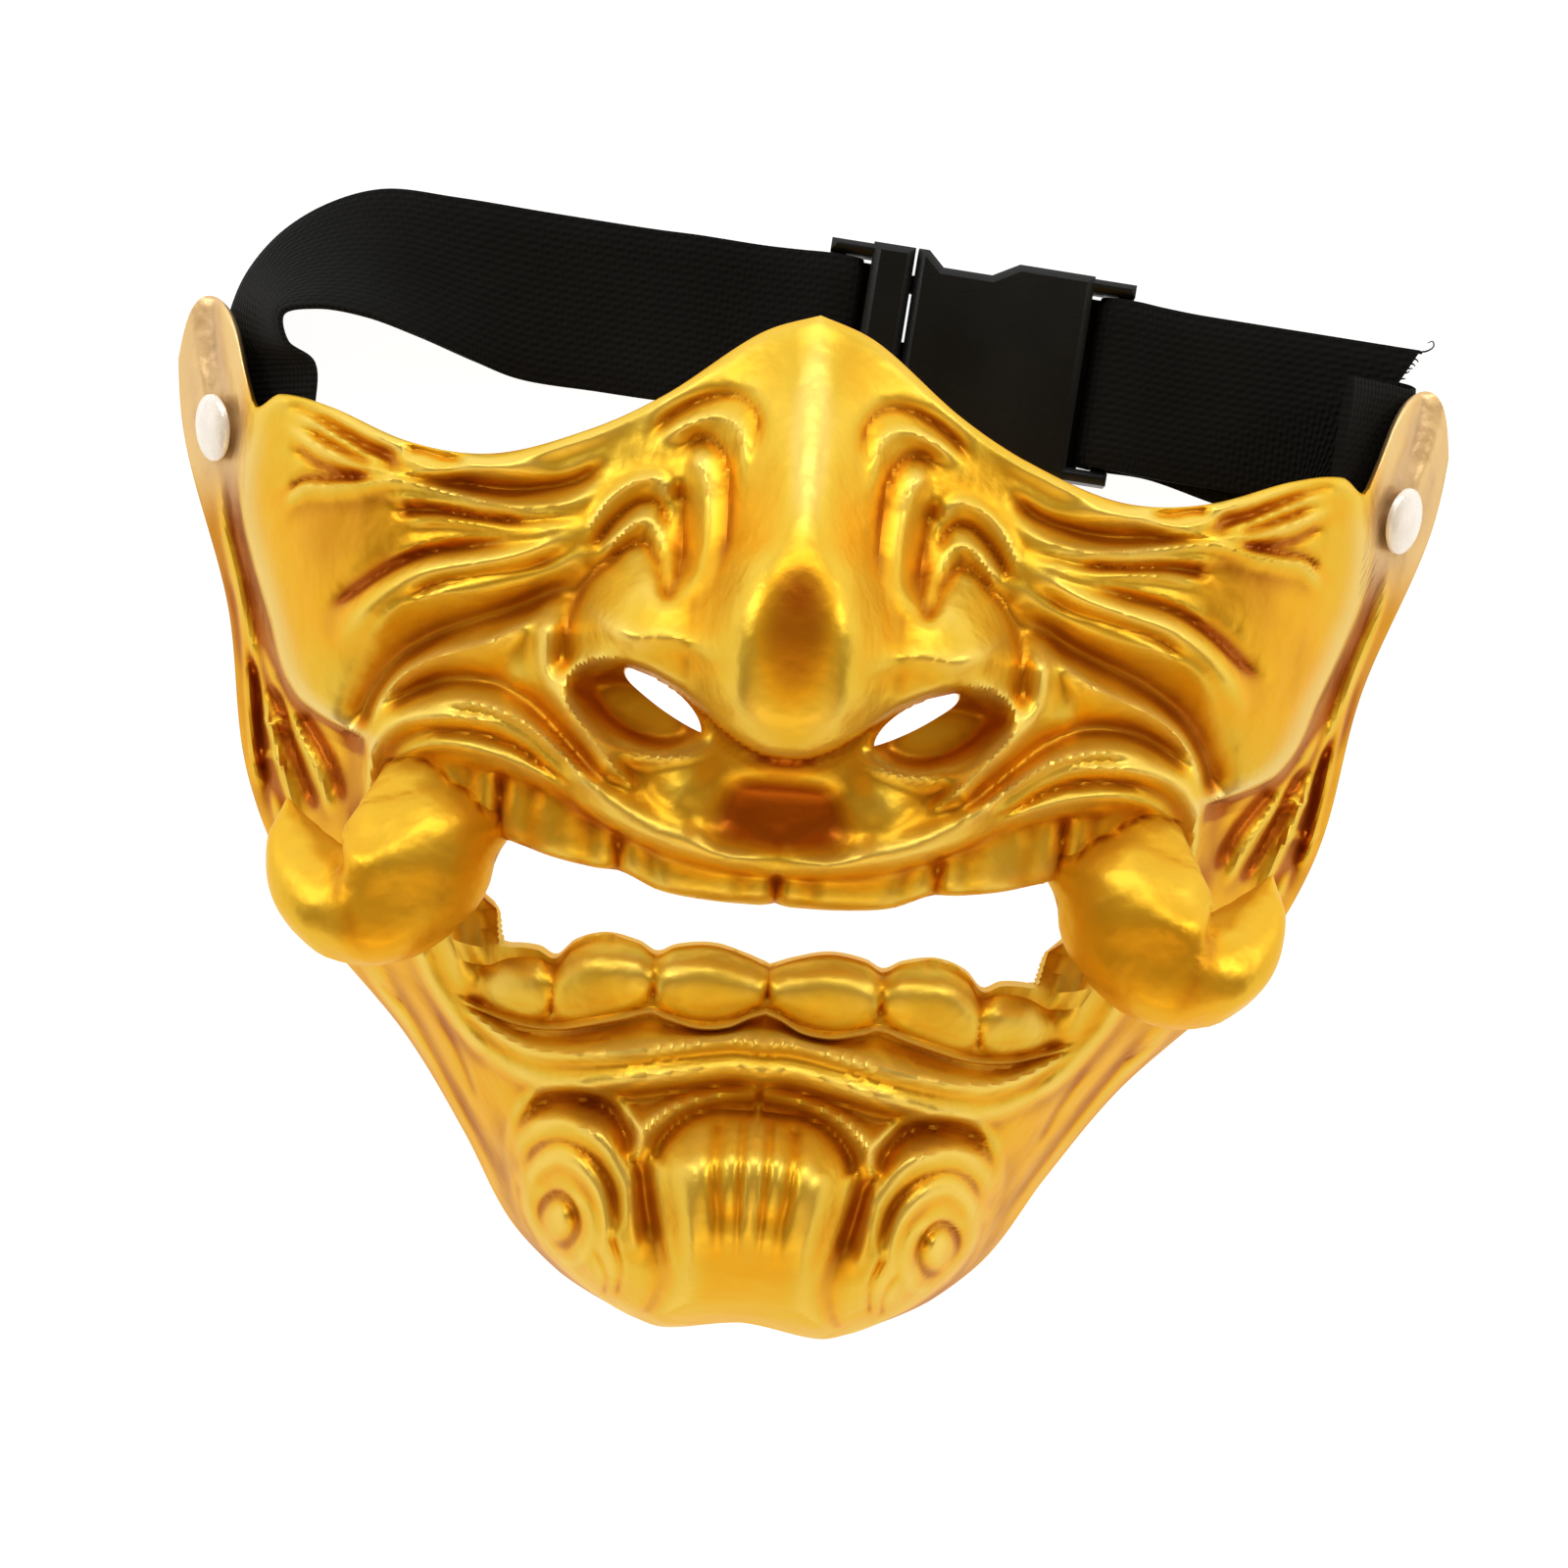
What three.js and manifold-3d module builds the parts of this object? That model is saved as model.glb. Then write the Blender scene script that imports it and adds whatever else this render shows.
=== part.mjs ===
// A snarling half mask lying on its back, face up, in millimetres.
// X runs across the face, Y from chin to forehead, Z up, away from the floor.
// The face is symmetric, so every relief form is written for one side, with across = |x|.

import * as THREE from 'three';
import { mergeVertices } from 'three/addons/utils/BufferGeometryUtils.js';
import Module from 'manifold-3d';

const wasm = await Module();
wasm.setup();

// Shell
const WALL = 3.6;
const THIN_WALL = 2.4;
const RIM_HEIGHT = 1.5;
const ARCH_POWER = 2.4;
const MOUTH_WALL = 4.5;
const NOSE_HOLLOW = 0.72;
const NOSE_INNER_PINCH = 1.14;
const HOLLOW_DROP = 0.5;
const FACE_TOP = 66;
const CHIN_BOTTOM = -79;
const CHIN_DIP = 1.8;

// Rows of the face, chin to forehead: y, height of the middle, half width
const FACE_ROWS = [
  [-79, 24, 18], [-77.5, 33, 22], [-74, 42, 28], [-67, 50, 35.5], [-55, 56, 43],
  [-41, 60, 53], [-24, 63, 69], [-5, 66, 79], [20, 66, 84], [45, 62, 92.5], [66, 58, 95],
];

// Rows of the nose: y, height over the face, half width of its flat front, and of its fall beyond that
const NOSE_ROWS = [
  [3, 19, 2, 9], [8, 22, 5, 8.5], [13, 24.2, 6.6, 8], [20, 25.4, 6.8, 7.6], [27, 25, 5, 7.4],
  [32, 23.4, 2.4, 8], [38, 20.4, 0.9, 8.6], [50, 14.5, 0.6, 10.5], [60, 9.4, 0.6, 12], [66, 7.4, 0.8, 13],
];

// Middle of the nose wing, its half width, and its reach below and above: across, y
const NOSE_WING = { at: [18.4, 18], half: 9.2, below: 14, above: 10.5, height: 13 };

// Lower edge of the nose and of its wing over the nostril: across, y; farther out it only guides the mesh
const NOSE_EDGE = [
  [0, 3.4], [3.8, 5.2], [8.6, 8.8], [14, 12.2], [20.6, 14.4], [25, 14.2], [29, 12.6], [36, 11], [48, 9],
  [60, 5], [70, 4.6], [95, 4.6],
];

// Edges across the face, chin to brow: across, y
const CHIN_EDGE = [[0, -77.2], [6, -77.8], [12, -78.7], [20, -79], [95, -79]];
const CHIN_HEAD = [[0, -41.5], [8, -42], [16, -43.5], [26, -44], [34, -46], [95, -46]];
const LOWER_BITE = [
  [0, -25.2], [3, -24], [8, -22.9], [13, -23.6], [15.5, -24.8], [18, -23.7], [23, -23.3], [27, -24.8],
  [29.5, -27.4], [32, -26.6], [36, -27], [40, -28.6], [46, -27], [60, -25], [95, -24],
];
const UPPER_BITE = [
  [0, -16.2], [2, -16.6], [10, -16.4], [16, -15.6], [21, -13.6], [25, -13.3], [31, -12.3], [37, -10.7],
  [40, -10.3], [48, -12], [60, -15], [95, -15],
];
const LIP_UNDER = [
  [0, -12.1], [8, -11.9], [13, -11], [18, -9.3], [22, -7.8], [26, -5.9], [30, -3.9], [35, -2], [40, -0.9],
  [46, -0.4], [52, -0.9], [58, -4], [66, -6], [95, -6],
];
const LIP_CREST = [
  [0, -8.4], [4.6, -8.4], [11.6, -7.9], [16.5, -6.9], [21.5, -4.9], [27.3, -2], [32, -0.3], [37, 1.1],
  [41, 2], [46, 1.9], [52, 1.4], [58, 0], [66, 0], [95, 0],
];
const CHEEK_LINE = [
  [0, 18], [20, 19.5], [34, 23.5], [38, 21.5], [42.5, 19.5], [47.5, 17.5], [53.3, 15.5], [57.6, 12],
  [64, 9.4], [95, 9.4],
];

// Thin crest along the gum of the lower teeth, and the crest of the lower lip: across, y
const GUM_CREST = [
  [0, -31], [5, -33.2], [9, -33.7], [15.5, -32.2], [24, -34.8], [34, -36], [40, -34.6], [50, -32],
];
const LOWER_LIP_CREST = [
  [0, -35], [10, -36], [20, -38.2], [26, -39.2], [32, -39.4], [38, -37.4], [44, -34],
];

// Gaps between the teeth
const UPPER_GAPS = [0, 21.7, 38.6];
const LOWER_GAPS = [0, 15.5, 29.5, 42];

// Broad cheek muscle: middle, half sizes, flatness and height
const CHEEK_MUSCLE = { at: [65, 23], half: [13, 17], power: 2.4, height: 4.2 };

// Outer edge of the cheek plate and of the lip hood below it: y, across
const PLATE_EDGE = [
  [-18, 61], [-14, 59.5], [-4, 58.2], [1.5, 59], [3.1, 62.9], [5, 67.2], [7, 70.3], [10.8, 73.2],
  [17.6, 75.8], [21.8, 77.6], [26.8, 79.6], [33.2, 81.6], [40, 82], [45, 81], [50, 80.3],
];

// Edge of the mask over nose bridge, cheek, the notch beside the plate and the round end of the ear tab
const BROW_LINE = [
  [0, 62.9], [8, 60], [20, 51.3], [30, 46], [43, 41.9], [55, 43], [68, 48], [76, 49.8], [80, 48.2],
  [82, 52.5], [84.4, 59.5], [87, 63.6], [90, 64.8], [92.4, 62.6], [93.8, 57.5],
];

// Boss of the chin down its middle: y, height over the face, half width
const BOSS_ROWS = [
  [-79, 1.8, 17], [-76, 3.6, 15], [-70, 6, 11], [-64, 7.8, 10.2], [-59, 8.6, 11], [-55, 8, 12.2],
  [-51, 6, 13], [-48.4, 2.6, 13], [-46, -1, 13], [-43.6, -1.4, 13], [-42, 0, 13],
];

// Flutes of the boss: their place as a share of its half width, depth and width
const BOSS_FLUTES = [[0.36, -1.4, 0.16], [0.66, 0.6, 0.16]];

// Eye of the chin's volute
const WHORL_EYE = [26.8, -63.8];

// Smooth step from 0 to 1 between two values, of which either may be the larger
const smoothRise = (from, to, value) => (from < to
  ? THREE.MathUtils.smoothstep(value, from, to) : 1 - THREE.MathUtils.smoothstep(value, to, from));
const bell = (distance, width) => Math.exp(-((distance / width) ** 2));

// Smooth value of one column of a table whose first column grows
function lookUp(table, column, at) {
  const last = table.length - 1;
  const slope = (i) => {
    const a = table[Math.max(i - 1, 0)];
    const b = table[Math.min(i + 1, last)];
    return (b[column] - a[column]) / (b[0] - a[0]);
  };
  if (at <= table[0][0]) return table[0][column];
  if (at >= table[last][0]) return table[last][column];
  const i = table.findIndex((row) => row[0] > at) - 1;
  const step = table[i + 1][0] - table[i][0];
  const t = (at - table[i][0]) / step;
  const start = table[i][column];
  const end = table[i + 1][column];
  const lift = t * t * (3 - 2 * t);
  const leave = (t - 2 * t * t + t ** 3) * step * slope(i);
  const arrive = (t ** 3 - t * t) * step * slope(i + 1);
  return start + (end - start) * lift + leave + arrive;
}

// A rounded ridge, or with a negative height a groove, along a smooth line of few points
function foldLine(points, width, height) {
  const curve = new THREE.SplineCurve(points.map((p) => new THREE.Vector2(...p)));
  const line = curve.getPoints(points.length * 5);
  return (across, y) => {
    let nearest = Infinity;
    let place = 0;
    for (let i = 0; i + 1 < line.length; i += 1) {
      const dx = line[i + 1].x - line[i].x;
      const dy = line[i + 1].y - line[i].y;
      const reach = ((across - line[i].x) * dx + (y - line[i].y) * dy) / (dx * dx + dy * dy);
      const t = THREE.MathUtils.clamp(reach, 0, 1);
      const distance = Math.hypot(across - line[i].x - t * dx, y - line[i].y - t * dy);
      if (distance < nearest) {
        nearest = distance;
        place = (i + t) / (line.length - 1);
      }
    }
    const taper = Math.min(1, 0.25 + 5 * Math.min(place, 1 - place));
    return height * taper * bell(nearest, width);
  };
}

// Folds of the skin: points as across and y, then width and height
const CHEEK_FOLDS = [
  foldLine([[74, 33], [70, 36], [58, 37], [44, 34.6], [32, 35.6]], 1.9, 1.9),
  foldLine([[75, 46.6], [68, 43], [58, 39.4], [47.4, 38], [38, 39.4]], 1.9, 1.6),
  foldLine([[70, 46.6], [64, 43.6], [56, 40.8], [48, 40.6]], 1.8, -1.5),
  foldLine([[66, 20], [58, 24.7], [50, 28.2], [39, 30], [31, 34]], 1.9, -2),
  foldLine([[64, 14], [60.4, 18.4], [51, 25], [38.6, 27.9], [28.6, 34]], 2.6, 3.4),
  foldLine([[60.4, 0], [59.4, 5], [55.4, 12.8], [45.4, 18.7], [33.8, 23.4], [28.6, 26.6]], 3, -5),
  foldLine([[58.4, 2], [56, 8], [49.2, 13.5], [41, 16.2], [34.6, 20]], 2.1, 2.8),
];

const LIP_FOLDS = [
  foldLine([[33.6, 23], [33, 14], [27.6, 5], [21.4, -1.4]], 2.6, 3.6),
  foldLine([[59, -10], [57, 1.4], [48, 5.6], [38, 5.5], [29, 0], [18, -6.9], [9, -9], [0, -9.4]], 2.5, 3.6),
  foldLine([[56, 6], [46, 10.4], [35.6, 8.4], [27.4, 1.2], [24.2, -2]], 2, -2.8),
];

const NOSE_FOLDS = [
  foldLine([[22, 45], [15.7, 50.2], [10, 51], [7.4, 46]], 1.9, -1.4),
  foldLine([[20, 45], [14.2, 47.2], [9.6, 44.6], [8.8, 38]], 1.9, 1.3),
  foldLine([[16.4, 42.6], [13.6, 39], [12.8, 32.6], [14.8, 22.6]], 2, 1.8),
  foldLine([[29.6, 31], [25, 37.4], [19.6, 39], [17.6, 33], [17, 25]], 2, 1.4),
  foldLine([[27.6, 28], [23, 33], [19.6, 31], [18, 25]], 1.8, -1.4),
  foldLine([[31, 12], [31, 17], [28.6, 25], [24, 30]], 1.9, -2),
];

const SIDE_FOLDS = [
  foldLine([[86, 40], [82, 20], [78.6, 1], [77.4, -8]], 1.7, 1.3),
  foldLine([[80.6, 19], [77.6, 10], [72, -6], [68, -14]], 1.7, 1.5),
  foldLine([[79.4, 12], [77.4, 2], [74.6, -10]], 1.8, -1.9),
  foldLine([[74.6, 8], [71.8, 1], [66.6, -9.6]], 1.8, -1.9),
];

const JAW_FOLDS = [
  foldLine([[50, -25], [43.4, -36.7], [38.5, -41]], 2.2, 1.8),
  foldLine([[60, -27], [50, -44], [40, -60]], 2.6, 1.4),
];

const CHIN_FOLDS = [
  foldLine([[16.4, -53], [15, -48.4], [9.4, -44], [0, -42.4]], 1.8, 1.6),
  foldLine([[15, -53], [14, -60], [12, -69]], 1.7, -1.6),
  foldLine([[17.2, -54.5], [18.4, -49.4], [24, -46], [30, -47.4], [34, -54]], 2.2, -3.6),
  foldLine([[17, -65], [17.6, -56], [24.6, -50], [32, -52], [33.6, -58]], 2.4, 2.4),
  foldLine([[20, -66], [21, -58], [27, -54.2], [31, -60]], 1.9, -1.1),
];

const sumOf = (folds, across, y) => folds.reduce((sum, fold) => sum + fold(across, y), 0);

function arch(across, y, wall) {
  const halfWidth = lookUp(FACE_ROWS, 2, y) - wall * 0.95;
  const middle = lookUp(FACE_ROWS, 1, y) - wall;
  return middle * (1 - Math.min(across / halfWidth, 1.2) ** ARCH_POWER);
}

// The nose and its two wings, cut off along the lower edge
function nose(across, y) {
  const [height, flat, fall] = [1, 2, 3].map((column) => lookUp(NOSE_ROWS, column, y));
  const beyond = Math.max(Math.sqrt((across - flat) ** 2 + 9) + across - flat - 0.9, 0) / 2;
  const bridge = height * Math.exp(-((beyond / fall) ** 1.5));
  const sideways = (across - NOSE_WING.at[0]) / NOSE_WING.half;
  const upward = (y - NOSE_WING.at[1]) / (y < NOSE_WING.at[1] ? NOSE_WING.below : NOSE_WING.above);
  const wing = NOSE_WING.height * Math.exp(-((sideways ** 2 + upward ** 2) ** 1.6));
  const overEdge = y - lookUp(NOSE_EDGE, 1, across);
  const roundEdge = 1 - 0.24 * (1 - smoothRise(0, 5, overEdge)) ** 2;
  return (bridge ** 4 + wing ** 4) ** 0.25 * roundEdge * smoothRise(-0.8, 0.05, overEdge);
}

// Sunken ground round the nostril
function nostrilPit(across, y) {
  const { at, tilt, half, depth } = NOSTRIL_PIT;
  const [beside, over] = [across - at[0], y - at[1]];
  const along = beside * Math.cos(tilt) + over * Math.sin(tilt);
  const up = over * Math.cos(tilt) - beside * Math.sin(tilt);
  return -depth * (1 - smoothRise(0.5, 1.1, Math.hypot(along / half[0], up / half[1])));
}

// The broad cheek muscle, full near its outer edge
function plateSwell(across, y) {
  const { at, half, power, height } = CHEEK_MUSCLE;
  const sideways = Math.exp(-(Math.abs((across - at[0]) / half[0]) ** power));
  return height * sideways * Math.exp(-(Math.abs((y - at[1]) / half[1]) ** power));
}

function cheekPlate(across, y) {
  const beyond = across - lookUp(PLATE_EDGE, 1, y);
  const belowPlate = smoothRise(-22, -14, y);
  const raised = 1.6 * (1 - smoothRise(-1.2, 1.2, beyond)) * smoothRise(30, 45, across);
  const sunk = -1.8 * smoothRise(-1.2, 1.2, beyond);
  return (raised + sunk) * belowPlate;
}

const gapDistance = (gaps, across) => Math.min(...gaps.map((gap) => Math.abs(across - gap)));

function upperTeeth(across, y) {
  const below = lookUp(LIP_UNDER, 1, across) - y;
  const present = smoothRise(-26, -19, y) * (1 - smoothRise(50, 58, across));
  const inside = smoothRise(-0.5, 0.9, below);
  const lipFace = 1.6 * smoothRise(-3.4, 0, below);
  const crown = 2.4 * (1 - bell(gapDistance(UPPER_GAPS, across), 2.2));
  return present * (inside * (crown - 6) - lipFace * (1 - inside));
}

function lowerTeeth(across, y) {
  const gap = gapDistance(LOWER_GAPS, across);
  const gum = lookUp(GUM_CREST, 1, across);
  const fade = 1 - smoothRise(37, 43, across);
  const neck = gum + 1 + 2.6 * bell(gap, 2.8);
  const swell = 1.3 * (1 - bell(gap, 4.4)) - 1.2 * bell(gap, 1.8);
  const crown = 2.6 * smoothRise(neck - 1.4, neck + 1.6, y) + swell;
  const bite = 4.6 * (1 - smoothRise(0, 4.6, lookUp(LOWER_BITE, 1, across) - y)) ** 2;
  const inMouth = (1 - smoothRise(-21, -15, y)) * (1 - smoothRise(40, 48, across));
  return inMouth * smoothRise(gum - 0.4, gum + 1.4, y) * (crown * fade - 5.4 - bite);
}

function lowerLip(across, y) {
  const ridge = lookUp(LOWER_LIP_CREST, 1, across);
  const gum = lookUp(GUM_CREST, 1, across);
  const fade = 1 - smoothRise(36, 46, across);
  const roll = 2.6 * bell(y - ridge, 1.6) + 2.2 * bell(y - ridge + 3.6, 1.7);
  const slope = y < gum ? -2.4 * smoothRise(ridge, gum - 0.6, y) : 0;
  const hollow = -3.2 * bell(ridge - y - 8, 2.4) * (1 - smoothRise(24, 36, across));
  return (roll + slope) * fade + hollow;
}

function chinBoss(across, y) {
  const row = y + 0.022 * across ** 2;
  const place = across / lookUp(BOSS_ROWS, 2, row);
  const length = smoothRise(-44.6, -47, row) * smoothRise(-71, -58, y);
  const flutes = BOSS_FLUTES
    .reduce((sum, [at, height, width]) => sum + height * bell(place - at, width), 0);
  const cheek = 3.2 * bell(across - 17, 8) * smoothRise(-62, -71, y);
  return (1 - smoothRise(0.78, 1.12, place)) * (lookUp(BOSS_ROWS, 1, row) + flutes * length) + cheek;
}

function chinWhorl(across, y) {
  const [eyeX, eyeY] = WHORL_EYE;
  const sideways = (across - eyeX) / (across < eyeX ? 12 : 9);
  const upward = (y - eyeY) / (y > eyeY ? 16.5 : 14);
  const mound = 4.6 * (1 - smoothRise(0.55, 1.15, Math.hypot(sideways, upward)));
  return mound - 2.6 * bell(Math.hypot((across - eyeX) / 3.4, (y - eyeY) / 4.4), 1);
}

function philtrum(across, y) {
  const hollow = -2.2 * Math.exp(-(Math.hypot(across / 8.6, (y + 4.6) / 4.3) ** 4));
  return hollow + 2.2 * bell(across - 13.5, 4.6) * bell(y + 2.8, 4.2);
}

// The outer surface of the face, as a height over the floor
function faceHeight(across, y) {
  const forms = nose(across, y) + nostrilPit(across, y) + plateSwell(across, y) + cheekPlate(across, y)
    + upperTeeth(across, y) + lowerLip(across, y) + lowerTeeth(across, y) + chinBoss(across, y)
    + chinWhorl(across, y) + philtrum(across, y);
  const folds = [CHEEK_FOLDS, LIP_FOLDS, NOSE_FOLDS, SIDE_FOLDS, JAW_FOLDS, CHIN_FOLDS]
    .reduce((sum, group) => sum + sumOf(group, across, y), 0);
  const nearRim = smoothRise(0, 7, lookUp(FACE_ROWS, 2, y) - across);
  return Math.max(arch(across, y, 0), 0) + RIM_HEIGHT + (forms + folds) * nearRim;
}

// The hollow behind it, which follows the nose but not the fine relief
function hollowHeight(across, y) {
  const mouthBand = smoothRise(-44, -34, y) * (1 - smoothRise(0, 8, y)) * (1 - smoothRise(48, 60, across));
  const noseSpace = NOSE_HOLLOW * nose(across * NOSE_INNER_PINCH, y - WALL);
  const plain = arch(across, y, WALL) + noseSpace - MOUTH_WALL * mouthBand;
  return Math.min(plain, faceHeight(across, y) - THIN_WALL);
}

// Mouth opening between the tooth rows: across, y
const MOUTH_CORNER = [[44, -12.6], [44.6, -15.5], [43.4, -18.6], [41, -21], [38.6, -23.6], [36.9, -26.2]];
const MOUTH_LEAN = 0.1;

// Nostril slot under the lower edge of the nose: across, y
const NOSTRIL = [
  [9.4, 6.4], [10.6, 8.8], [13.6, 11.2], [17.4, 13.2], [21, 14.2], [22.6, 13.8], [22.2, 12.4], [20, 10.6],
  [17, 8.6], [13.6, 6.8], [11, 5.9],
];
const NOSTRIL_REACH = [30, 66];
const NOSTRIL_PIT = { at: [20, 8.4], tilt: THREE.MathUtils.degToRad(22), half: [10.4, 5], depth: 4.2 };

// Tusk: points of its middle line with the radius there
const TUSK = [
  [47, -3.5, 39, 9], [47.4, -9.6, 46, 9.8], [50, -16.2, 49, 10.4], [56, -20.6, 48.5, 9.6],
  [62.4, -19.6, 45.5, 7.4], [66.6, -14.6, 42, 5], [68.6, -8, 39, 1.5],
];

// Rivet through the ear tab
const RIVET_AT = [87.5, 45.3];
const RIVET_HEAD = 4.9;
const RIVET_SHANK = 1.9;
const RIVET_WASHER = 3.2;
const CLEARANCE = 0.3;
const RIVET_SEAT_DEPTH = 1;
const STRAP_BORE = 7;

// Webbing, from the ear to the buckle; it lies on the floor beyond the brow edge
const WEB_WIDTH = 25;
const WEB_THICK = 1.6;
const WEB_GAP = 0.7;
const WEB_FLOOR = WEB_THICK / 2;
const STRAP_SLOPE = THREE.MathUtils.degToRad(-4.6);

// Slanting end of the tail: how far along it each edge reaches, and its height over the layer below
const CUT_END = [88.8, 77];
const CUT_RISE = 1.9;

// Place where the middle of the webbing meets the buckle; u runs along it, v across it
const BUCKLE_START = [-1, 65.7];
const BUCKLE_HEIGHT = 8.8;
const BUCKLE_HALF = 15.2;
const MALE_BODY = [6.8, 13];
const FEMALE_BODY = [13.4, 39.6];
const BAR = { long: 2.4, low: 2.7, high: 6, bevel: 0.5 };
const BAR_MALE = 0.6;
const BAR_FEMALE = 43.4;
const CHEEK = { width: 2.2, inset: 0.3, low: 0.6, high: BUCKLE_HEIGHT - 0.8, bevel: 0.7 };
const FOOT = { high: 1, male: 5.4, female: 41.5 };
const FOOT_HALF = 12.6;
const PRONG_END = 26;
const PRONG_WIDTH = 3;
const PRONG_SPREAD = 9.6;
const PRONG_PLAY = 0.5;
const POCKET = { end: 29, half: 13, low: 2.1, high: 6.7 };
const WINDOW = [16.5, 25.5];
const WAIST_DEPTH = 2.2;

const GOLD = new THREE.MeshStandardMaterial({ color: 0xd9a41c, roughness: 0.32, metalness: 0.85 });
const WHITE = new THREE.MeshStandardMaterial({ color: 0xe8e8e6, roughness: 0.35, metalness: 0.3 });
const WEBBING = new THREE.MeshStandardMaterial({ color: 0x101012, roughness: 0.9, metalness: 0 });
const PLASTIC = new THREE.MeshStandardMaterial({ color: 0x0d0e10, roughness: 0.4, metalness: 0 });

function toSolid(geometry) {
  const bare = geometry.clone();
  bare.deleteAttribute('normal');
  bare.deleteAttribute('uv');
  const merged = mergeVertices(bare, 1e-4);
  const vertProperties = new Float32Array(merged.attributes.position.array);
  const triVerts = new Uint32Array(merged.index.array);
  return new wasm.Manifold(new wasm.Mesh({ numProp: 3, vertProperties, triVerts }));
}

function toGeometry(solid) {
  const mesh = solid.getMesh();
  const geometry = new THREE.BufferGeometry();
  geometry.setAttribute('position', new THREE.BufferAttribute(mesh.vertProperties, 3));
  geometry.setIndex(new THREE.BufferAttribute(mesh.triVerts, 1));
  geometry.computeVertexNormals();
  return geometry;
}

// Moves every point of a three.js geometry through a function of the point
function reshape(geometry, move) {
  const position = geometry.attributes.position;
  const point = new THREE.Vector3();
  for (let i = 0; i < position.count; i += 1) {
    point.fromBufferAttribute(position, i);
    const moved = move(point);
    position.setXYZ(i, moved.x, moved.y, moved.z);
  }
  return geometry;
}

function flipped(geometry) {
  return reshape(geometry, (p) => new THREE.Vector3(-p.x, p.y, p.z));
}

// Mirrors a closed geometry and turns its faces outwards again
function mirrored(geometry) {
  const copy = flipped(geometry.clone());
  const index = copy.index.array;
  for (let i = 0; i < index.length; i += 3) {
    [index[i], index[i + 1]] = [index[i + 1], index[i]];
  }
  return copy;
}

// Edges that rows of the skin run along, with the number of rows up to each
const NOSE_FOOT = NOSE_EDGE.map(([across, y]) => [across, y - 0.9]);
const STRIPS = [
  [CHIN_EDGE, 0], [CHIN_HEAD, 13], [LOWER_BITE, 7], [UPPER_BITE, 1], [LIP_UNDER, 2], [LIP_CREST, 2],
  [NOSE_FOOT, 4], [NOSE_EDGE, 1], [CHEEK_LINE, 4], [BROW_LINE, 12],
];
const ROW_COUNT = STRIPS.reduce((sum, strip) => sum + strip[1], 0);
const COLUMN_COUNT = 48;
const COLUMN_CROWDING = 0.12;

function rowPlace(index, across) {
  let left = index;
  for (let k = 1; k < STRIPS.length; k += 1) {
    const [edge, count] = STRIPS[k];
    const from = lookUp(STRIPS[k - 1][0], 1, across);
    if (left <= count) return from + ((lookUp(edge, 1, across) - from) * left) / count;
    left -= count;
  }
  return lookUp(BROW_LINE, 1, across);
}

// Place in y of a row at a share of the face's half width
function rowAt(index, share) {
  let y = 0;
  for (let i = 0; i < 12; i += 1) {
    y = 0.4 * y + 0.6 * rowPlace(index, share * lookUp(FACE_ROWS, 2, y));
  }
  return y;
}

function chinShift(across, y) {
  return CHIN_DIP * bell(across, 9) * (1 - smoothRise(CHIN_BOTTOM, CHIN_BOTTOM + 10, y));
}

function skinBlock() {
  const box = new THREE.BoxGeometry(2, ROW_COUNT, 1, COLUMN_COUNT, ROW_COUNT, 1);
  return reshape(box, (p) => {
    const share = p.x * (1 + COLUMN_CROWDING * (1 - p.x * p.x));
    const y = rowAt(Math.round(p.y + ROW_COUNT / 2), Math.abs(share));
    const x = share * lookUp(FACE_ROWS, 2, y);
    const top = faceHeight(Math.abs(x), y);
    return new THREE.Vector3(x, y + chinShift(Math.abs(x), y), p.z > 0 ? top : 0);
  });
}

function hollowBlock() {
  const columns = 22;
  const rows = 20;
  const low = CHIN_BOTTOM + WALL;
  const box = new THREE.BoxGeometry(2, 1, 1, columns, rows, 1);
  return reshape(box, (p) => {
    const y = low + (p.y + 0.5) * (FACE_TOP + 8 - low);
    const row = Math.min(y, FACE_TOP);
    const x = p.x * (lookUp(FACE_ROWS, 2, row) - WALL * 0.95);
    const top = Math.max(hollowHeight(Math.abs(x), row), 0) - HOLLOW_DROP;
    return new THREE.Vector3(x, y, p.z > 0 ? top : -5);
  });
}

function prism(outline, from, to) {
  const shape = new THREE.Shape(outline.map((p) => new THREE.Vector2(...p)));
  const block = new THREE.ExtrudeGeometry(shape, { depth: to - from, bevelEnabled: false });
  block.translate(0, 0, from);
  return block;
}

const splineThrough = (points, count) => new THREE.SplineCurve(points.map((p) => new THREE.Vector2(...p)))
  .getPoints(count).map((p) => [p.x, p.y]);

function mouthCutter() {
  const upper = [0, 5, 10, 16, 21, 25, 31, 37, 40].map((across) => [across, lookUp(UPPER_BITE, 1, across)]);
  const corner = splineThrough(MOUTH_CORNER, 7);
  const lower = [36, 32, 29.5, 27, 23, 19, 15.5, 12, 8, 4, 0]
    .map((across) => [across, lookUp(LOWER_BITE, 1, across)]);
  const right = [...upper, ...corner, ...lower];
  const left = right.slice(1, -1).map((p) => [-p[0], p[1]]).reverse();
  const block = prism([...right, ...left].reverse(), 20, 90);
  return reshape(block, (p) => {
    const lean = p.y < -20 ? MOUTH_LEAN * (60 - p.z) : 0;
    return new THREE.Vector3(p.x, p.y + lean, p.z);
  });
}

const nostrilCutter = (side) => prism(NOSTRIL.map(([across, y]) => [side * across, y]), ...NOSTRIL_REACH);

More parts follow.
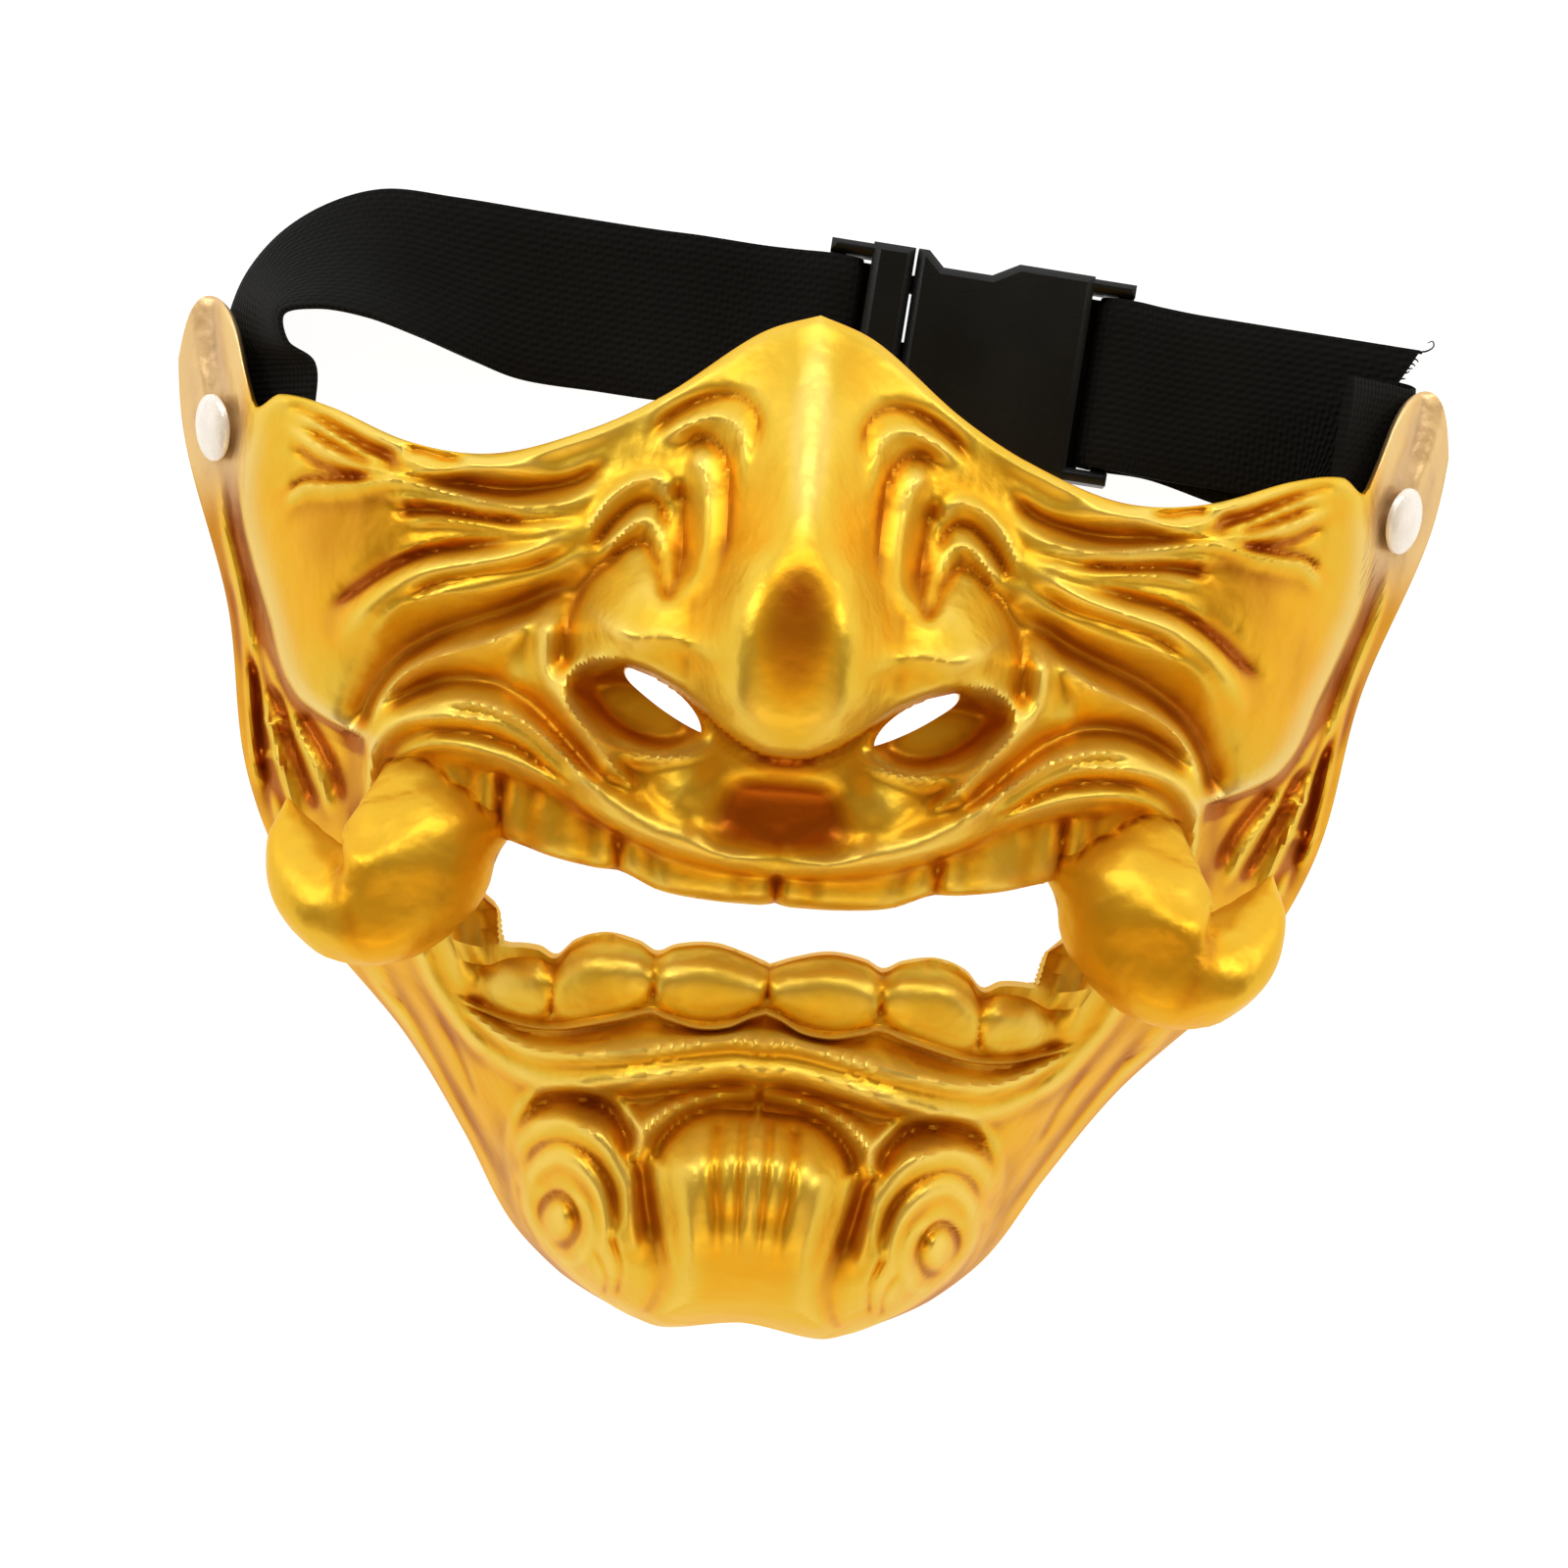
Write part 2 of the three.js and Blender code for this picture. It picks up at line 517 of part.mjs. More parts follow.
// A curved horn with a round root and a round tip
function tuskHorn() {
  const middle = new THREE.CatmullRomCurve3(TUSK.map((p) => new THREE.Vector3(p[0], p[1], p[2])));
  const last = TUSK.length - 1;
  const radii = new THREE.SplineCurve(TUSK.map((p, i) => new THREE.Vector2(i / last, p[3])));
  const side = new THREE.Vector3(0.2, 0.3, 1).normalize();
  const ball = new THREE.SphereGeometry(1, 10, 13);
  return reshape(ball, (p) => {
    const place = (1 - p.y) / 2;
    const ring = Math.hypot(p.x, p.z);
    const along = middle.getTangent(place);
    const out = new THREE.Vector3().crossVectors(along, side).normalize();
    const up = new THREE.Vector3().crossVectors(along, out).normalize();
    const rounding = Math.min(1, ring * 1.9);
    const radius = radii.getPoint(place).y * rounding / Math.max(ring, 1e-9);
    return middle.getPoint(place).addScaledVector(out, p.x * radius).addScaledVector(up, p.z * radius);
  });
}

// Frame of the rivet: its axis stands square on the ear tab
const rivetAxis = (() => {
  const [across, y] = RIVET_AT;
  const slopeX = (arch(across + 1, y, 0) - arch(across - 1, y, 0)) / 2;
  const slopeY = (arch(across, y + 1, 0) - arch(across, y - 1, 0)) / 2;
  return new THREE.Vector3(-slopeX, -slopeY, 1).normalize();
})();
const rivetSeat = new THREE.Vector3(...RIVET_AT, arch(...RIVET_AT, 0) + RIM_HEIGHT)
  .addScaledVector(rivetAxis, -RIVET_SEAT_DEPTH);

// Stands a shape made along +Y on the rivet seat
function atRivet(geometry) {
  const turn = new THREE.Quaternion().setFromUnitVectors(new THREE.Vector3(0, 1, 0), rivetAxis);
  geometry.applyQuaternion(turn);
  geometry.translate(rivetSeat.x, rivetSeat.y, rivetSeat.z);
  return geometry;
}

function rivetBores() {
  const bore = new THREE.CylinderGeometry(RIVET_SHANK + CLEARANCE, RIVET_SHANK + CLEARANCE, 30, 10);
  const seat = new THREE.CylinderGeometry(RIVET_HEAD + 0.5, RIVET_HEAD + 0.5, 10, 16);
  seat.translate(0, 5, 0);
  return [atRivet(bore), atRivet(seat)];
}

// Depth of the inner face of the ear tab under the rivet seat
const tabDepth = (() => {
  const probe = rivetSeat.clone();
  let depth = 0;
  while (probe.z > arch(probe.x, probe.y, WALL) - HOLLOW_DROP && depth < 12) {
    depth += 0.1;
    probe.addScaledVector(rivetAxis, -0.1);
  }
  return depth;
})();
const WASHER_DEPTH = tabDepth + WEB_THICK + 1.7;

// Middle of the webbing where it lies on the inside of the right ear tab, at a height of the hollow
function behindTab(y, height) {
  const halfWidth = lookUp(FACE_ROWS, 2, y) - WALL * 0.95;
  const middle = lookUp(FACE_ROWS, 1, y) - WALL;
  const x = halfWidth * (1 - height / middle) ** (1 / ARCH_POWER);
  const fall = arch(x - 0.5, y, WALL) - arch(x + 0.5, y, WALL);
  const inward = new THREE.Vector3(fall, 0, 1).normalize().multiplyScalar(-WEB_THICK / 2 - WEB_GAP);
  return new THREE.Vector3(x, y, height - HOLLOW_DROP).add(inward);
}

function rivetGeometry() {
  const outline = [
    [0, -WASHER_DEPTH - 0.8], [RIVET_WASHER, -WASHER_DEPTH - 0.8], [RIVET_WASHER, -WASHER_DEPTH],
    [RIVET_SHANK, -WASHER_DEPTH], [RIVET_SHANK, CLEARANCE], [RIVET_HEAD, CLEARANCE],
    [RIVET_HEAD, CLEARANCE + 0.7], [RIVET_HEAD * 0.72, CLEARANCE + 1.4], [0, CLEARANCE + 1.7],
  ];
  const turned = new THREE.LatheGeometry(outline.map((p) => new THREE.Vector2(...p)), 12);
  return atRivet(turned);
}

// Webbing ruled between two smooth edges, given as pairs of points
function ribbon(pairs, steps) {
  const outer = new THREE.CatmullRomCurve3(pairs.map((pair) => pair[0]));
  const inner = new THREE.CatmullRomCurve3(pairs.map((pair) => pair[1]));
  const strip = new THREE.BoxGeometry(1, 1, 1, steps, 1, 1);
  return reshape(strip, (p) => {
    const t = p.x + 0.5;
    const from = inner.getPoint(t);
    const to = outer.getPoint(t);
    const along = outer.getTangent(t).add(inner.getTangent(t));
    const face = new THREE.Vector3().crossVectors(along, to.clone().sub(from)).normalize();
    const spot = from.lerp(to, p.y + 0.5).addScaledVector(face, p.z * WEB_THICK);
    return spot.setZ(Math.max(spot.z, 0));
  });
}

const onBuckle = (u, v, z) => new THREE.Vector3(
  BUCKLE_START[0] + u * Math.cos(STRAP_SLOPE) - v * Math.sin(STRAP_SLOPE),
  BUCKLE_START[1] + u * Math.sin(STRAP_SLOPE) + v * Math.cos(STRAP_SLOPE),
  z,
);

// Both edges of the webbing where it runs straight in line with the buckle
const acrossBuckle = (u, z) => [onBuckle(u, WEB_WIDTH / 2, z), onBuckle(u, -WEB_WIDTH / 2, z)];
const edgePair = (outer, inner) => [new THREE.Vector3(...outer), new THREE.Vector3(...inner)];
const toLeft = (point) => new THREE.Vector3(-point.x, point.y, point.z);

function withRivetHole(strip, side) {
  const bore = new THREE.CylinderGeometry(RIVET_SHANK + CLEARANCE, RIVET_SHANK + CLEARANCE, STRAP_BORE, 10);
  bore.translate(0, -tabDepth - WEB_THICK, 0);
  const hole = atRivet(bore);
  return toGeometry(toSolid(strip).subtract(toSolid(side < 0 ? mirrored(hole) : hole)));
}

// Riveted behind the left ear tab, it twists down to the floor and ends round the buckle's bar
function strapLeft() {
  const atEar = [37.5, 46, 55].map((y) => [toLeft(behindTab(y, 2.6)), toLeft(behindTab(y, 22.6))]);
  const twist = [
    edgePair([-87, 61.8, 1.4], [-76, 57.6, 22.4]),
    edgePair([-85, 68.6, 0.9], [-77, 61.6, 22]),
    edgePair([-80.6, 75, WEB_FLOOR], [-72.6, 63.2, 19.2]),
    edgePair([-74, 80, WEB_FLOOR], [-65.8, 63, 14]),
    edgePair([-66, 82.9, WEB_FLOOR], [-58.4, 61.2, 7.6]),
    edgePair([-55, 82.6, WEB_FLOOR], [-50.5, 58.6, 2.6]),
  ];
  const floor = [[-42, 0], [-30, 0], [-24, 0.6], [-19, 2], [-9, 2.2], [-3, 4.6], [0, 6.4],
    [2.4, 6.9], [4.6, 5.8], [5.3, 3.5], [4.6, 1.1], [2.6, 0.1], [-4, 0], [-17, 0]];
  const loop = floor.map(([u, rise]) => acrossBuckle(u, WEB_FLOOR + rise));
  return withRivetHole(ribbon([...atEar, ...twist, ...loop], 46), -1);
}

// From the right ear tab along the floor, round the buckle's bar and back on top as a cut tail
function strapRight() {
  const atEar = [17, 9, 3.4].map((height) => [behindTab(65.3, height), behindTab(41.2, height)]);
  const floor = [
    edgePair([88.2, 65.8, WEB_FLOOR], [82.6, 41.8, WEB_FLOOR]),
    edgePair([78, 67.6, WEB_FLOOR], [71.6, 43.4, WEB_FLOOR]),
    edgePair([66, 70.6, WEB_FLOOR], [60, 46.3, WEB_FLOOR]),
  ];
  const turn = [[52, 0], [46, 0], [43.6, 0.3], [41.9, 1.6], [41.5, 3.7], [42.2, 5.7], [44, 6.8],
    [46.4, 6.5], [50, 4.2], [55, 2.2], [60, CUT_RISE], [74, CUT_RISE]];
  const loop = turn.map(([u, rise]) => acrossBuckle(u, WEB_FLOOR + rise));
  const cutEnd = [1, -1].map((edge) => (
    onBuckle(edge > 0 ? CUT_END[0] : CUT_END[1], edge * WEB_WIDTH / 2, WEB_FLOOR + CUT_RISE)));
  return withRivetHole(ribbon([...atEar, ...floor, ...loop, cutEnd], 46), 1);
}

// A flat block with rounded edges; corners are given as u and v
function buckleBlock(outline, low, high, bevel) {
  const shape = new THREE.Shape(outline.map((p) => new THREE.Vector2(...p)));
  const block = new THREE.ExtrudeGeometry(shape, {
    depth: high - low - 2 * bevel,
    bevelEnabled: bevel > 0,
    bevelThickness: bevel,
    bevelSize: bevel,
    bevelOffset: -bevel,
    bevelSegments: 1,
  });
  block.translate(0, 0, low + bevel);
  return toSolid(reshape(block, (p) => onBuckle(p.x, p.y, p.z)));
}

const rectangle = (u0, u1, v0, v1) => [[u0, v0], [u1, v0], [u1, v1], [u0, v1]];

function barWithCheeks(u, bodyEdge) {
  const [from, to] = u < bodyEdge ? [u, bodyEdge + 1] : [bodyEdge - 1, u + BAR.long];
  const barEnds = [1 - BUCKLE_HALF, BUCKLE_HALF - 1];
  const bar = buckleBlock(rectangle(u, u + BAR.long, ...barEnds), BAR.low, BAR.high, BAR.bevel);
  return [1, -1].reduce((sum, side) => {
    const edges = [BUCKLE_HALF - CHEEK.width, BUCKLE_HALF - CHEEK.inset].map((edge) => side * edge);
    const outline = rectangle(from, to, Math.min(...edges), Math.max(...edges));
    return sum.add(buckleBlock(outline, CHEEK.low, CHEEK.high, CHEEK.bevel));
  }, bar);
}

function prong(side) {
  const root = side * (PRONG_SPREAD - 1);
  const outline = [
    [MALE_BODY[1] - 1, root], [17, side * PRONG_SPREAD], [22, side * (PRONG_SPREAD + 0.6)],
    [PRONG_END, side * (PRONG_SPREAD - 1)], [PRONG_END - 1, side * (PRONG_SPREAD + PRONG_WIDTH - 0.6)],
    [18.6, side * (PRONG_SPREAD + PRONG_WIDTH)], [17.6, side * (PRONG_SPREAD + PRONG_WIDTH - 1)],
    [MALE_BODY[1] - 1, side * (PRONG_SPREAD + 1.6)],
  ];
  const turned = side > 0 ? outline : outline.reverse();
  return buckleBlock(turned, POCKET.low + PRONG_PLAY, POCKET.high - PRONG_PLAY, 0);
}

function buckleMale() {
  const [from, to] = MALE_BODY;
  const body = buckleBlock(rectangle(from, to, -BUCKLE_HALF, BUCKLE_HALF), 0, BUCKLE_HEIGHT, 1.1);
  const foot = buckleBlock(rectangle(FOOT.male, from + 1, -FOOT_HALF, FOOT_HALF), 0, FOOT.high, 0);
  const guide = buckleBlock(rectangle(to - 1, PRONG_END - 3, -1.4, 1.4), 2.8, 6, 0);
  const parts = [barWithCheeks(BAR_MALE, from), prong(1), prong(-1), guide, foot];
  return toGeometry(parts.reduce((sum, part) => sum.add(part), body));
}

function buckleFemale() {
  const [from, to] = FEMALE_BODY;
  const waist = BUCKLE_HALF - WAIST_DEPTH;
  const upper = [
    [to, BUCKLE_HALF], [28.4, BUCKLE_HALF], [24.6, waist], [17.4, waist], [15, BUCKLE_HALF],
    [from, BUCKLE_HALF],
  ];
  const outline = [...upper.map(([u, v]) => [u, -v]).reverse(), ...upper];
  const pocket = rectangle(from - 2, POCKET.end, -POCKET.half, POCKET.half);
  const openSides = rectangle(...WINDOW, -BUCKLE_HALF - 2, BUCKLE_HALF + 2);
  const foot = buckleBlock(rectangle(to - 1, FOOT.female, -FOOT_HALF, FOOT_HALF), 0, FOOT.high, 0);
  return toGeometry(buckleBlock(outline, 0, BUCKLE_HEIGHT, 1.1)
    .add(foot)
    .subtract(buckleBlock(pocket, POCKET.low, POCKET.high, 0))
    .subtract(buckleBlock(openSides, POCKET.low, POCKET.high, 0))
    .add(barWithCheeks(BAR_FEMALE, to)));
}

function maskShell() {
  const cutters = [hollowBlock(), mouthCutter(), nostrilCutter(1), nostrilCutter(-1)];
  for (const bore of rivetBores()) cutters.push(bore, mirrored(bore));
  const tusk = tuskHorn();
  let solid = toSolid(skinBlock());
  for (const cutter of cutters) solid = solid.subtract(toSolid(cutter));
  solid = solid.add(toSolid(tusk)).add(toSolid(mirrored(tusk)));
  return toGeometry(solid);
}

const group = new THREE.Group();

function place(name, geometry, material) {
  const mesh = new THREE.Mesh(geometry, material);
  mesh.name = name;
  group.add(mesh);
}

place('mask_shell', maskShell(), GOLD);
const rivet = rivetGeometry();
place('rivet_right', rivet, WHITE);
place('rivet_left', mirrored(rivet), WHITE);
place('strap_left', strapLeft(), WEBBING);
place('strap_right', strapRight(), WEBBING);
place('buckle_male', buckleMale(), PLASTIC);
place('buckle_female', buckleFemale(), PLASTIC);

// The origin is on the floor, under the middle of the whole object
const box = new THREE.Box3().setFromObject(group);
const middle = box.getCenter(new THREE.Vector3());
group.position.set(-middle.x, -middle.y, -box.min.z);

export default group;
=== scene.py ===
import math

import bmesh
import bpy
import numpy as np
from mathutils import Matrix, Vector


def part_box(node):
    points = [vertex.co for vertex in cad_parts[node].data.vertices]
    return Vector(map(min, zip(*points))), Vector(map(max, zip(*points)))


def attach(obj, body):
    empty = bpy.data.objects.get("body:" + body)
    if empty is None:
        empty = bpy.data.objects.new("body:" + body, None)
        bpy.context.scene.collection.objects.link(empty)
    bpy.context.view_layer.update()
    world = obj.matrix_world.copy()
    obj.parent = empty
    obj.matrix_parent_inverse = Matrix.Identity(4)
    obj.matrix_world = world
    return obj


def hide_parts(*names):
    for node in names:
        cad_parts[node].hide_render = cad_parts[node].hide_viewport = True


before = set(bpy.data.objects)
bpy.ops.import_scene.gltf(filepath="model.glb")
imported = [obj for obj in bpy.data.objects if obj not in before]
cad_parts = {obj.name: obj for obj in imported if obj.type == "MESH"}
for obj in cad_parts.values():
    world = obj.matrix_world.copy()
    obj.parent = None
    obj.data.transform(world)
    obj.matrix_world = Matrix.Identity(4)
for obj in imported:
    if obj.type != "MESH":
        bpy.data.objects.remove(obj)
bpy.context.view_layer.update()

MM = 0.001
CHIN_BOTTOM = -79.0
FACE_TOP = 66.0
FACE_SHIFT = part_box("mask_shell")[0].y / MM - CHIN_BOTTOM

WALL = 3.6
THIN_WALL = 2.4
RIM_HEIGHT = 1.5
ARCH_POWER = 2.4
MOUTH_WALL = 4.5
NOSE_HOLLOW = 0.72
NOSE_INNER_PINCH = 1.14
CHIN_DIP = 1.8
HOLLOW_DROP = 0.5

# Rows of the face, chin to forehead: y, height of the middle, half width
FACE_ROWS = [
    (-79, 24, 18), (-77.5, 33, 22), (-74, 42, 28), (-67, 50, 35.5), (-55, 56, 43),
    (-41, 60, 53), (-24, 63, 69), (-5, 66, 79), (20, 66, 84), (45, 62, 92.5), (66, 58, 95),
]

# Edges across the face, from the middle outwards: across, y
CHIN_EDGE = [(0, -77.2), (6, -77.8), (12, -78.7), (20, -79), (95, -79)]
CHIN_HEAD = [(0, -41.5), (8, -42), (16, -43.5), (26, -44), (34, -46), (95, -46)]
LOWER_BITE = [
    (0, -25.2), (3, -24), (8, -22.9), (13, -23.6), (15.5, -24.8), (18, -23.7), (23, -23.3), (27, -24.8),
    (29.5, -27.4), (32, -26.6), (36, -27), (40, -28.6), (46, -27), (60, -25), (95, -24),
]
GUM_CREST = [
    (0, -31), (2, -31.7), (5, -33.2), (9, -33.7), (13, -32.9), (15.5, -32.2), (19, -33.3), (24, -34.8),
    (28, -35.8), (34, -36), (40, -34.6), (50, -32), (95, -32),
]
UPPER_BITE = [
    (0, -16.2), (2, -16.6), (10, -16.4), (16, -15.6), (21, -13.6), (25, -13.3), (31, -12.3), (37, -10.7),
    (40, -10.3), (48, -12), (60, -15), (95, -15),
]
LIP_UNDER = [
    (0, -12.1), (8, -11.9), (13, -11), (18, -9.3), (22, -7.8), (26, -5.9), (30, -3.9), (35, -2),
    (40, -0.9), (46, -0.4), (52, -0.9), (58, -4), (66, -6), (95, -6),
]
LIP_CREST = [
    (0, -8.4), (4.6, -8.4), (11.6, -7.9), (16.5, -6.9), (21.5, -4.9), (27.3, -2), (32, -0.3), (37, 1.1),
    (41, 2), (46, 1.9), (52, 1.4), (58, 0), (66, 0), (95, 0),
]
CHEEK_LINE = [
    (0, 15), (20, 17), (34, 23.5), (38, 21.5), (42.5, 19.5), (47.5, 17.5), (53.3, 15.5), (57.6, 12),
    (64, 9), (95, 9),
]
BROW_LINE = [
    (0, 62.9), (8, 60), (20, 51.3), (30, 46), (43, 41.9), (55, 43), (68, 48), (76, 49.8), (80, 48.2),
    (82, 52.5), (84.4, 59.5), (87, 63.6), (90, 64.8), (92.4, 62.6), (93.8, 57.5), (96, 40),
]

# Each strip of the face between two of those edges, and its number of mesh rows
STRIPS = [
    (CHIN_EDGE, 0), (CHIN_HEAD, 72), (GUM_CREST, 19), (LOWER_BITE, 24), (UPPER_BITE, 7), (LIP_UNDER, 15),
    (LIP_CREST, 10), (CHEEK_LINE, 48), (BROW_LINE, 82),
]
COLUMNS = 300

# How strongly the rows crowd towards the chin and the brow, and rounds that settle a row on its edges
ROW_CROWDING = 1.25
SETTLING_ROUNDS = 12


def smooth_rise(start, end, value):
    t = np.clip((value - start) / (end - start), 0, 1)
    return t * t * (3 - 2 * t)


def bell(distance, width, power=2.0):
    return np.exp(-np.abs(distance / width) ** power)


def edge_drop(inward):
    """Drop of a quarter-round edge: 1 at the edge itself, 0 from 1 inwards."""
    return 1 - np.sqrt(1 - (1 - np.clip(inward, 0, 1)) ** 2)


def cushion(inward):
    """Rise of a cushioned face from its seam: 0 at the seam, 1 from 1 inwards."""
    return 1 - (1 - np.clip(inward, 0, 1)) ** 2


def read_off(rows, at, column=1):
    """Smooth value of one column of a table whose first column grows."""
    rows = np.asarray(rows, float)
    place, value = rows[:, 0], rows[:, column]
    before = np.maximum(np.arange(len(rows)) - 1, 0)
    after = np.minimum(np.arange(len(rows)) + 1, len(rows) - 1)
    slope = (value[after] - value[before]) / (place[after] - place[before])
    at = np.clip(at, place[0], place[-1])
    i = np.clip(np.searchsorted(place, at, side="right") - 1, 0, len(rows) - 2)
    step = place[i + 1] - place[i]
    t = (at - place[i]) / step
    lift = t * t * (3 - 2 * t)
    leave = (t - 2 * t * t + t ** 3) * step * slope[i]
    arrive = (t ** 3 - t * t) * step * slope[i + 1]
    return value[i] + (value[i + 1] - value[i]) * lift + leave + arrive


def smooth_line(points, per_span=8):
    """Points along a smooth line through a few places."""
    p = np.asarray(points, float)
    p = np.vstack([2 * p[0] - p[1], p, 2 * p[-1] - p[-2]])
    t = np.linspace(0, 1, per_span, endpoint=False)[:, None]
    spans = [0.5 * (2 * b + (c - a) * t + (2 * a - 5 * b + 4 * c - d) * t ** 2
                    + (3 * b - a - 3 * c + d) * t ** 3)
             for a, b, c, d in zip(p, p[1:], p[2:], p[3:])]
    return np.vstack(spans + [p[-2][None, :]])


class Fold:
    """A ridge, or with a negative height a groove, that follows a smooth line.

    below and above are its widths on either side, and a power under 2 gives it a sharper crest.
    """

    def __init__(self, points, height, below, above=None, power=2.0, ends=0.18):
        self.line = smooth_line(points)
        self.height, self.below, self.above = height, below, above or below
        self.power, self.ends = power, ends

    def __call__(self, across, y):
        line = self.line
        reach = 3 * max(self.below, self.above)
        low, high = line.min(0) - reach, line.max(0) + reach
        near = (across > low[0]) & (across < high[0]) & (y > low[1]) & (y < high[1])
        out = np.zeros_like(across)
        if not near.any():
            return out
        px, py = across[near], y[near]
        best = np.full(px.shape, np.inf)
        place, side = np.zeros(px.shape), np.ones(px.shape)
        for i in range(len(line) - 1):
            ax, ay = line[i]
            dx, dy = line[i + 1] - line[i]
            t = np.clip(((px - ax) * dx + (py - ay) * dy) / (dx * dx + dy * dy), 0, 1)
            ox, oy = px - ax - t * dx, py - ay - t * dy
            far = np.hypot(ox, oy)
            closer = far < best
            best = np.where(closer, far, best)
            place = np.where(closer, (i + t) / (len(line) - 1), place)
            side = np.where(closer, dx * oy - dy * ox, side)
        width = np.where(side > 0, self.below, self.above)
        taper = smooth_rise(-0.12 * self.ends, self.ends, np.minimum(place, 1 - place))
        out[near] = self.height * taper * bell(best, width, self.power)
        return out


def arch(across, y, wall):
    half_width = read_off(FACE_ROWS, y, 2) - wall * 0.95
    middle = read_off(FACE_ROWS, y, 1) - wall
    return middle * (1 - np.minimum(across / half_width, 1.2) ** ARCH_POWER)


# Folds of the cheek, listed from the brow edge down to the lip
CHEEK_FOLDS = [
    Fold([(76, 49), (70, 46.6), (65, 44), (60.6, 42), (56, 40.8)], -2.2, 1.1, 1.2),
    Fold([(74, 47.6), (69, 45), (65, 43), (61.5, 41), (57.3, 39.8)], 1.8, 1.0, 0.9, 1.4),
    Fold([(72, 45.2), (67, 42.6), (63, 40.8), (60, 39.8)], -1.4, 0.8),
    Fold([(75, 45.4), (70, 42.6), (66, 40.8), (62, 39.3), (57, 38.6), (51, 38.6), (45, 36.8)], 1.8, 1.0,
         1.0, 1.4),
    Fold([(73.6, 42.6), (69, 39.9), (64.5, 38.4), (60, 37.7)], -1.3, 0.8),
    Fold([(64, 44.6), (58, 43), (52, 42), (46, 40.6), (40, 40), (34, 40.6)], 1.6, 1.8, 1.3),
    Fold([(56.4, 42.2), (53, 41.7), (50, 41), (46.4, 40.7)], -2.4, 0.8),
    Fold([(57.4, 40.7), (53.6, 39.8), (49.6, 39), (45, 39.4), (38, 39.4)], 1.5, 0.9),
    Fold([(53, 38.4), (46, 37.6), (39, 37.3), (32, 38.6), (27, 41.6)], -2.2, 1.2, 1.0),
    Fold([(73.6, 33), (72.8, 35), (70.6, 36.4), (66, 36.5), (61, 36.9), (57.3, 37.4), (53, 36.9),
          (48, 35.9), (43, 34.9), (38, 34.6), (32, 35.6), (27, 38.4)], 2.3, 1.5, 0.8, 1.5),
    Fold([(73.4, 35.8), (71, 37.6), (66, 37.7), (61, 38.2)], -1.5, 0.7),
    Fold([(59, 35.4), (54, 35.3), (48.5, 34.6), (43, 33.8), (37, 33.6), (31, 34.4)], 1.0, 0.7, 0.6, 1.5),
    Fold([(57, 33.6), (50, 33.8), (44, 33.1), (37, 32.7)], -1.8, 0.9),
    Fold([(55.4, 31.9), (50, 32.4), (44, 32.1), (38, 31.8), (32, 32.8)], 1.4, 0.8),
    Fold([(57.4, 26.8), (53, 28.7), (48, 29.9), (42, 30.5), (36, 31), (30, 33.4)], 1.3, 0.8, 1.2, 1.5),
    Fold([(66, 19.2), (62, 22), (58, 24.7), (54, 26.9), (50, 28.2), (45, 29), (39, 29.7)], -2.4, 1.0, 1.6,
         1.4),
    Fold([(64, 14), (60.4, 18.4), (56, 22.4), (51, 25), (45, 26.4), (38.6, 27.9), (33, 30.4), (28.6, 34)],
         3.4, 2.4, 2.2, 1.8),
    Fold([(54, 21), (49.6, 23.7), (43.6, 25.2), (37, 26.6), (31.4, 29)], -1.2, 0.8),
    Fold([(60, 14), (55.4, 19.6), (50, 21.9), (44, 22.8), (38.4, 24.2), (32.6, 26.7), (27.4, 30.4)], 2.0,
         1.8, 1.3, 1.5),
    Fold([(60.4, -1), (59.8, 4), (58.6, 8), (55.4, 12.8), (50.6, 16.2), (45.4, 18.7), (39.6, 20.9),
          (33.8, 23.4), (28.6, 26.6)], -5.4, 2.9, 3.0, 1.8),
    Fold([(58.4, 1.4), (57.6, 4.6), (56.2, 7.9), (53.2, 11.2), (49.2, 13.5), (45, 14.8), (41, 16.2),
          (37.2, 18.3), (33.8, 20.6)], 3.2, 1.3, 1.1, 1.3),
    Fold([(55.6, 6), (52, 9.6), (47, 11.6), (41, 12), (36.6, 13.4)], -1.6, 1.9),
]

# Broad cheek muscle: middle, half sizes, height, and how flat its top is
MUSCLE_AT = (65, 23)
MUSCLE_HALF = (13, 17)
MUSCLE_HEIGHT = 4.2
MUSCLE_FLATNESS = 2.4


def plate_swell(across, y):
    """The broad cheek muscle, full near its outer edge."""
    sideways = bell(across - MUSCLE_AT[0], MUSCLE_HALF[0], MUSCLE_FLATNESS)
    return MUSCLE_HEIGHT * sideways * bell(y - MUSCLE_AT[1], MUSCLE_HALF[1], MUSCLE_FLATNESS)


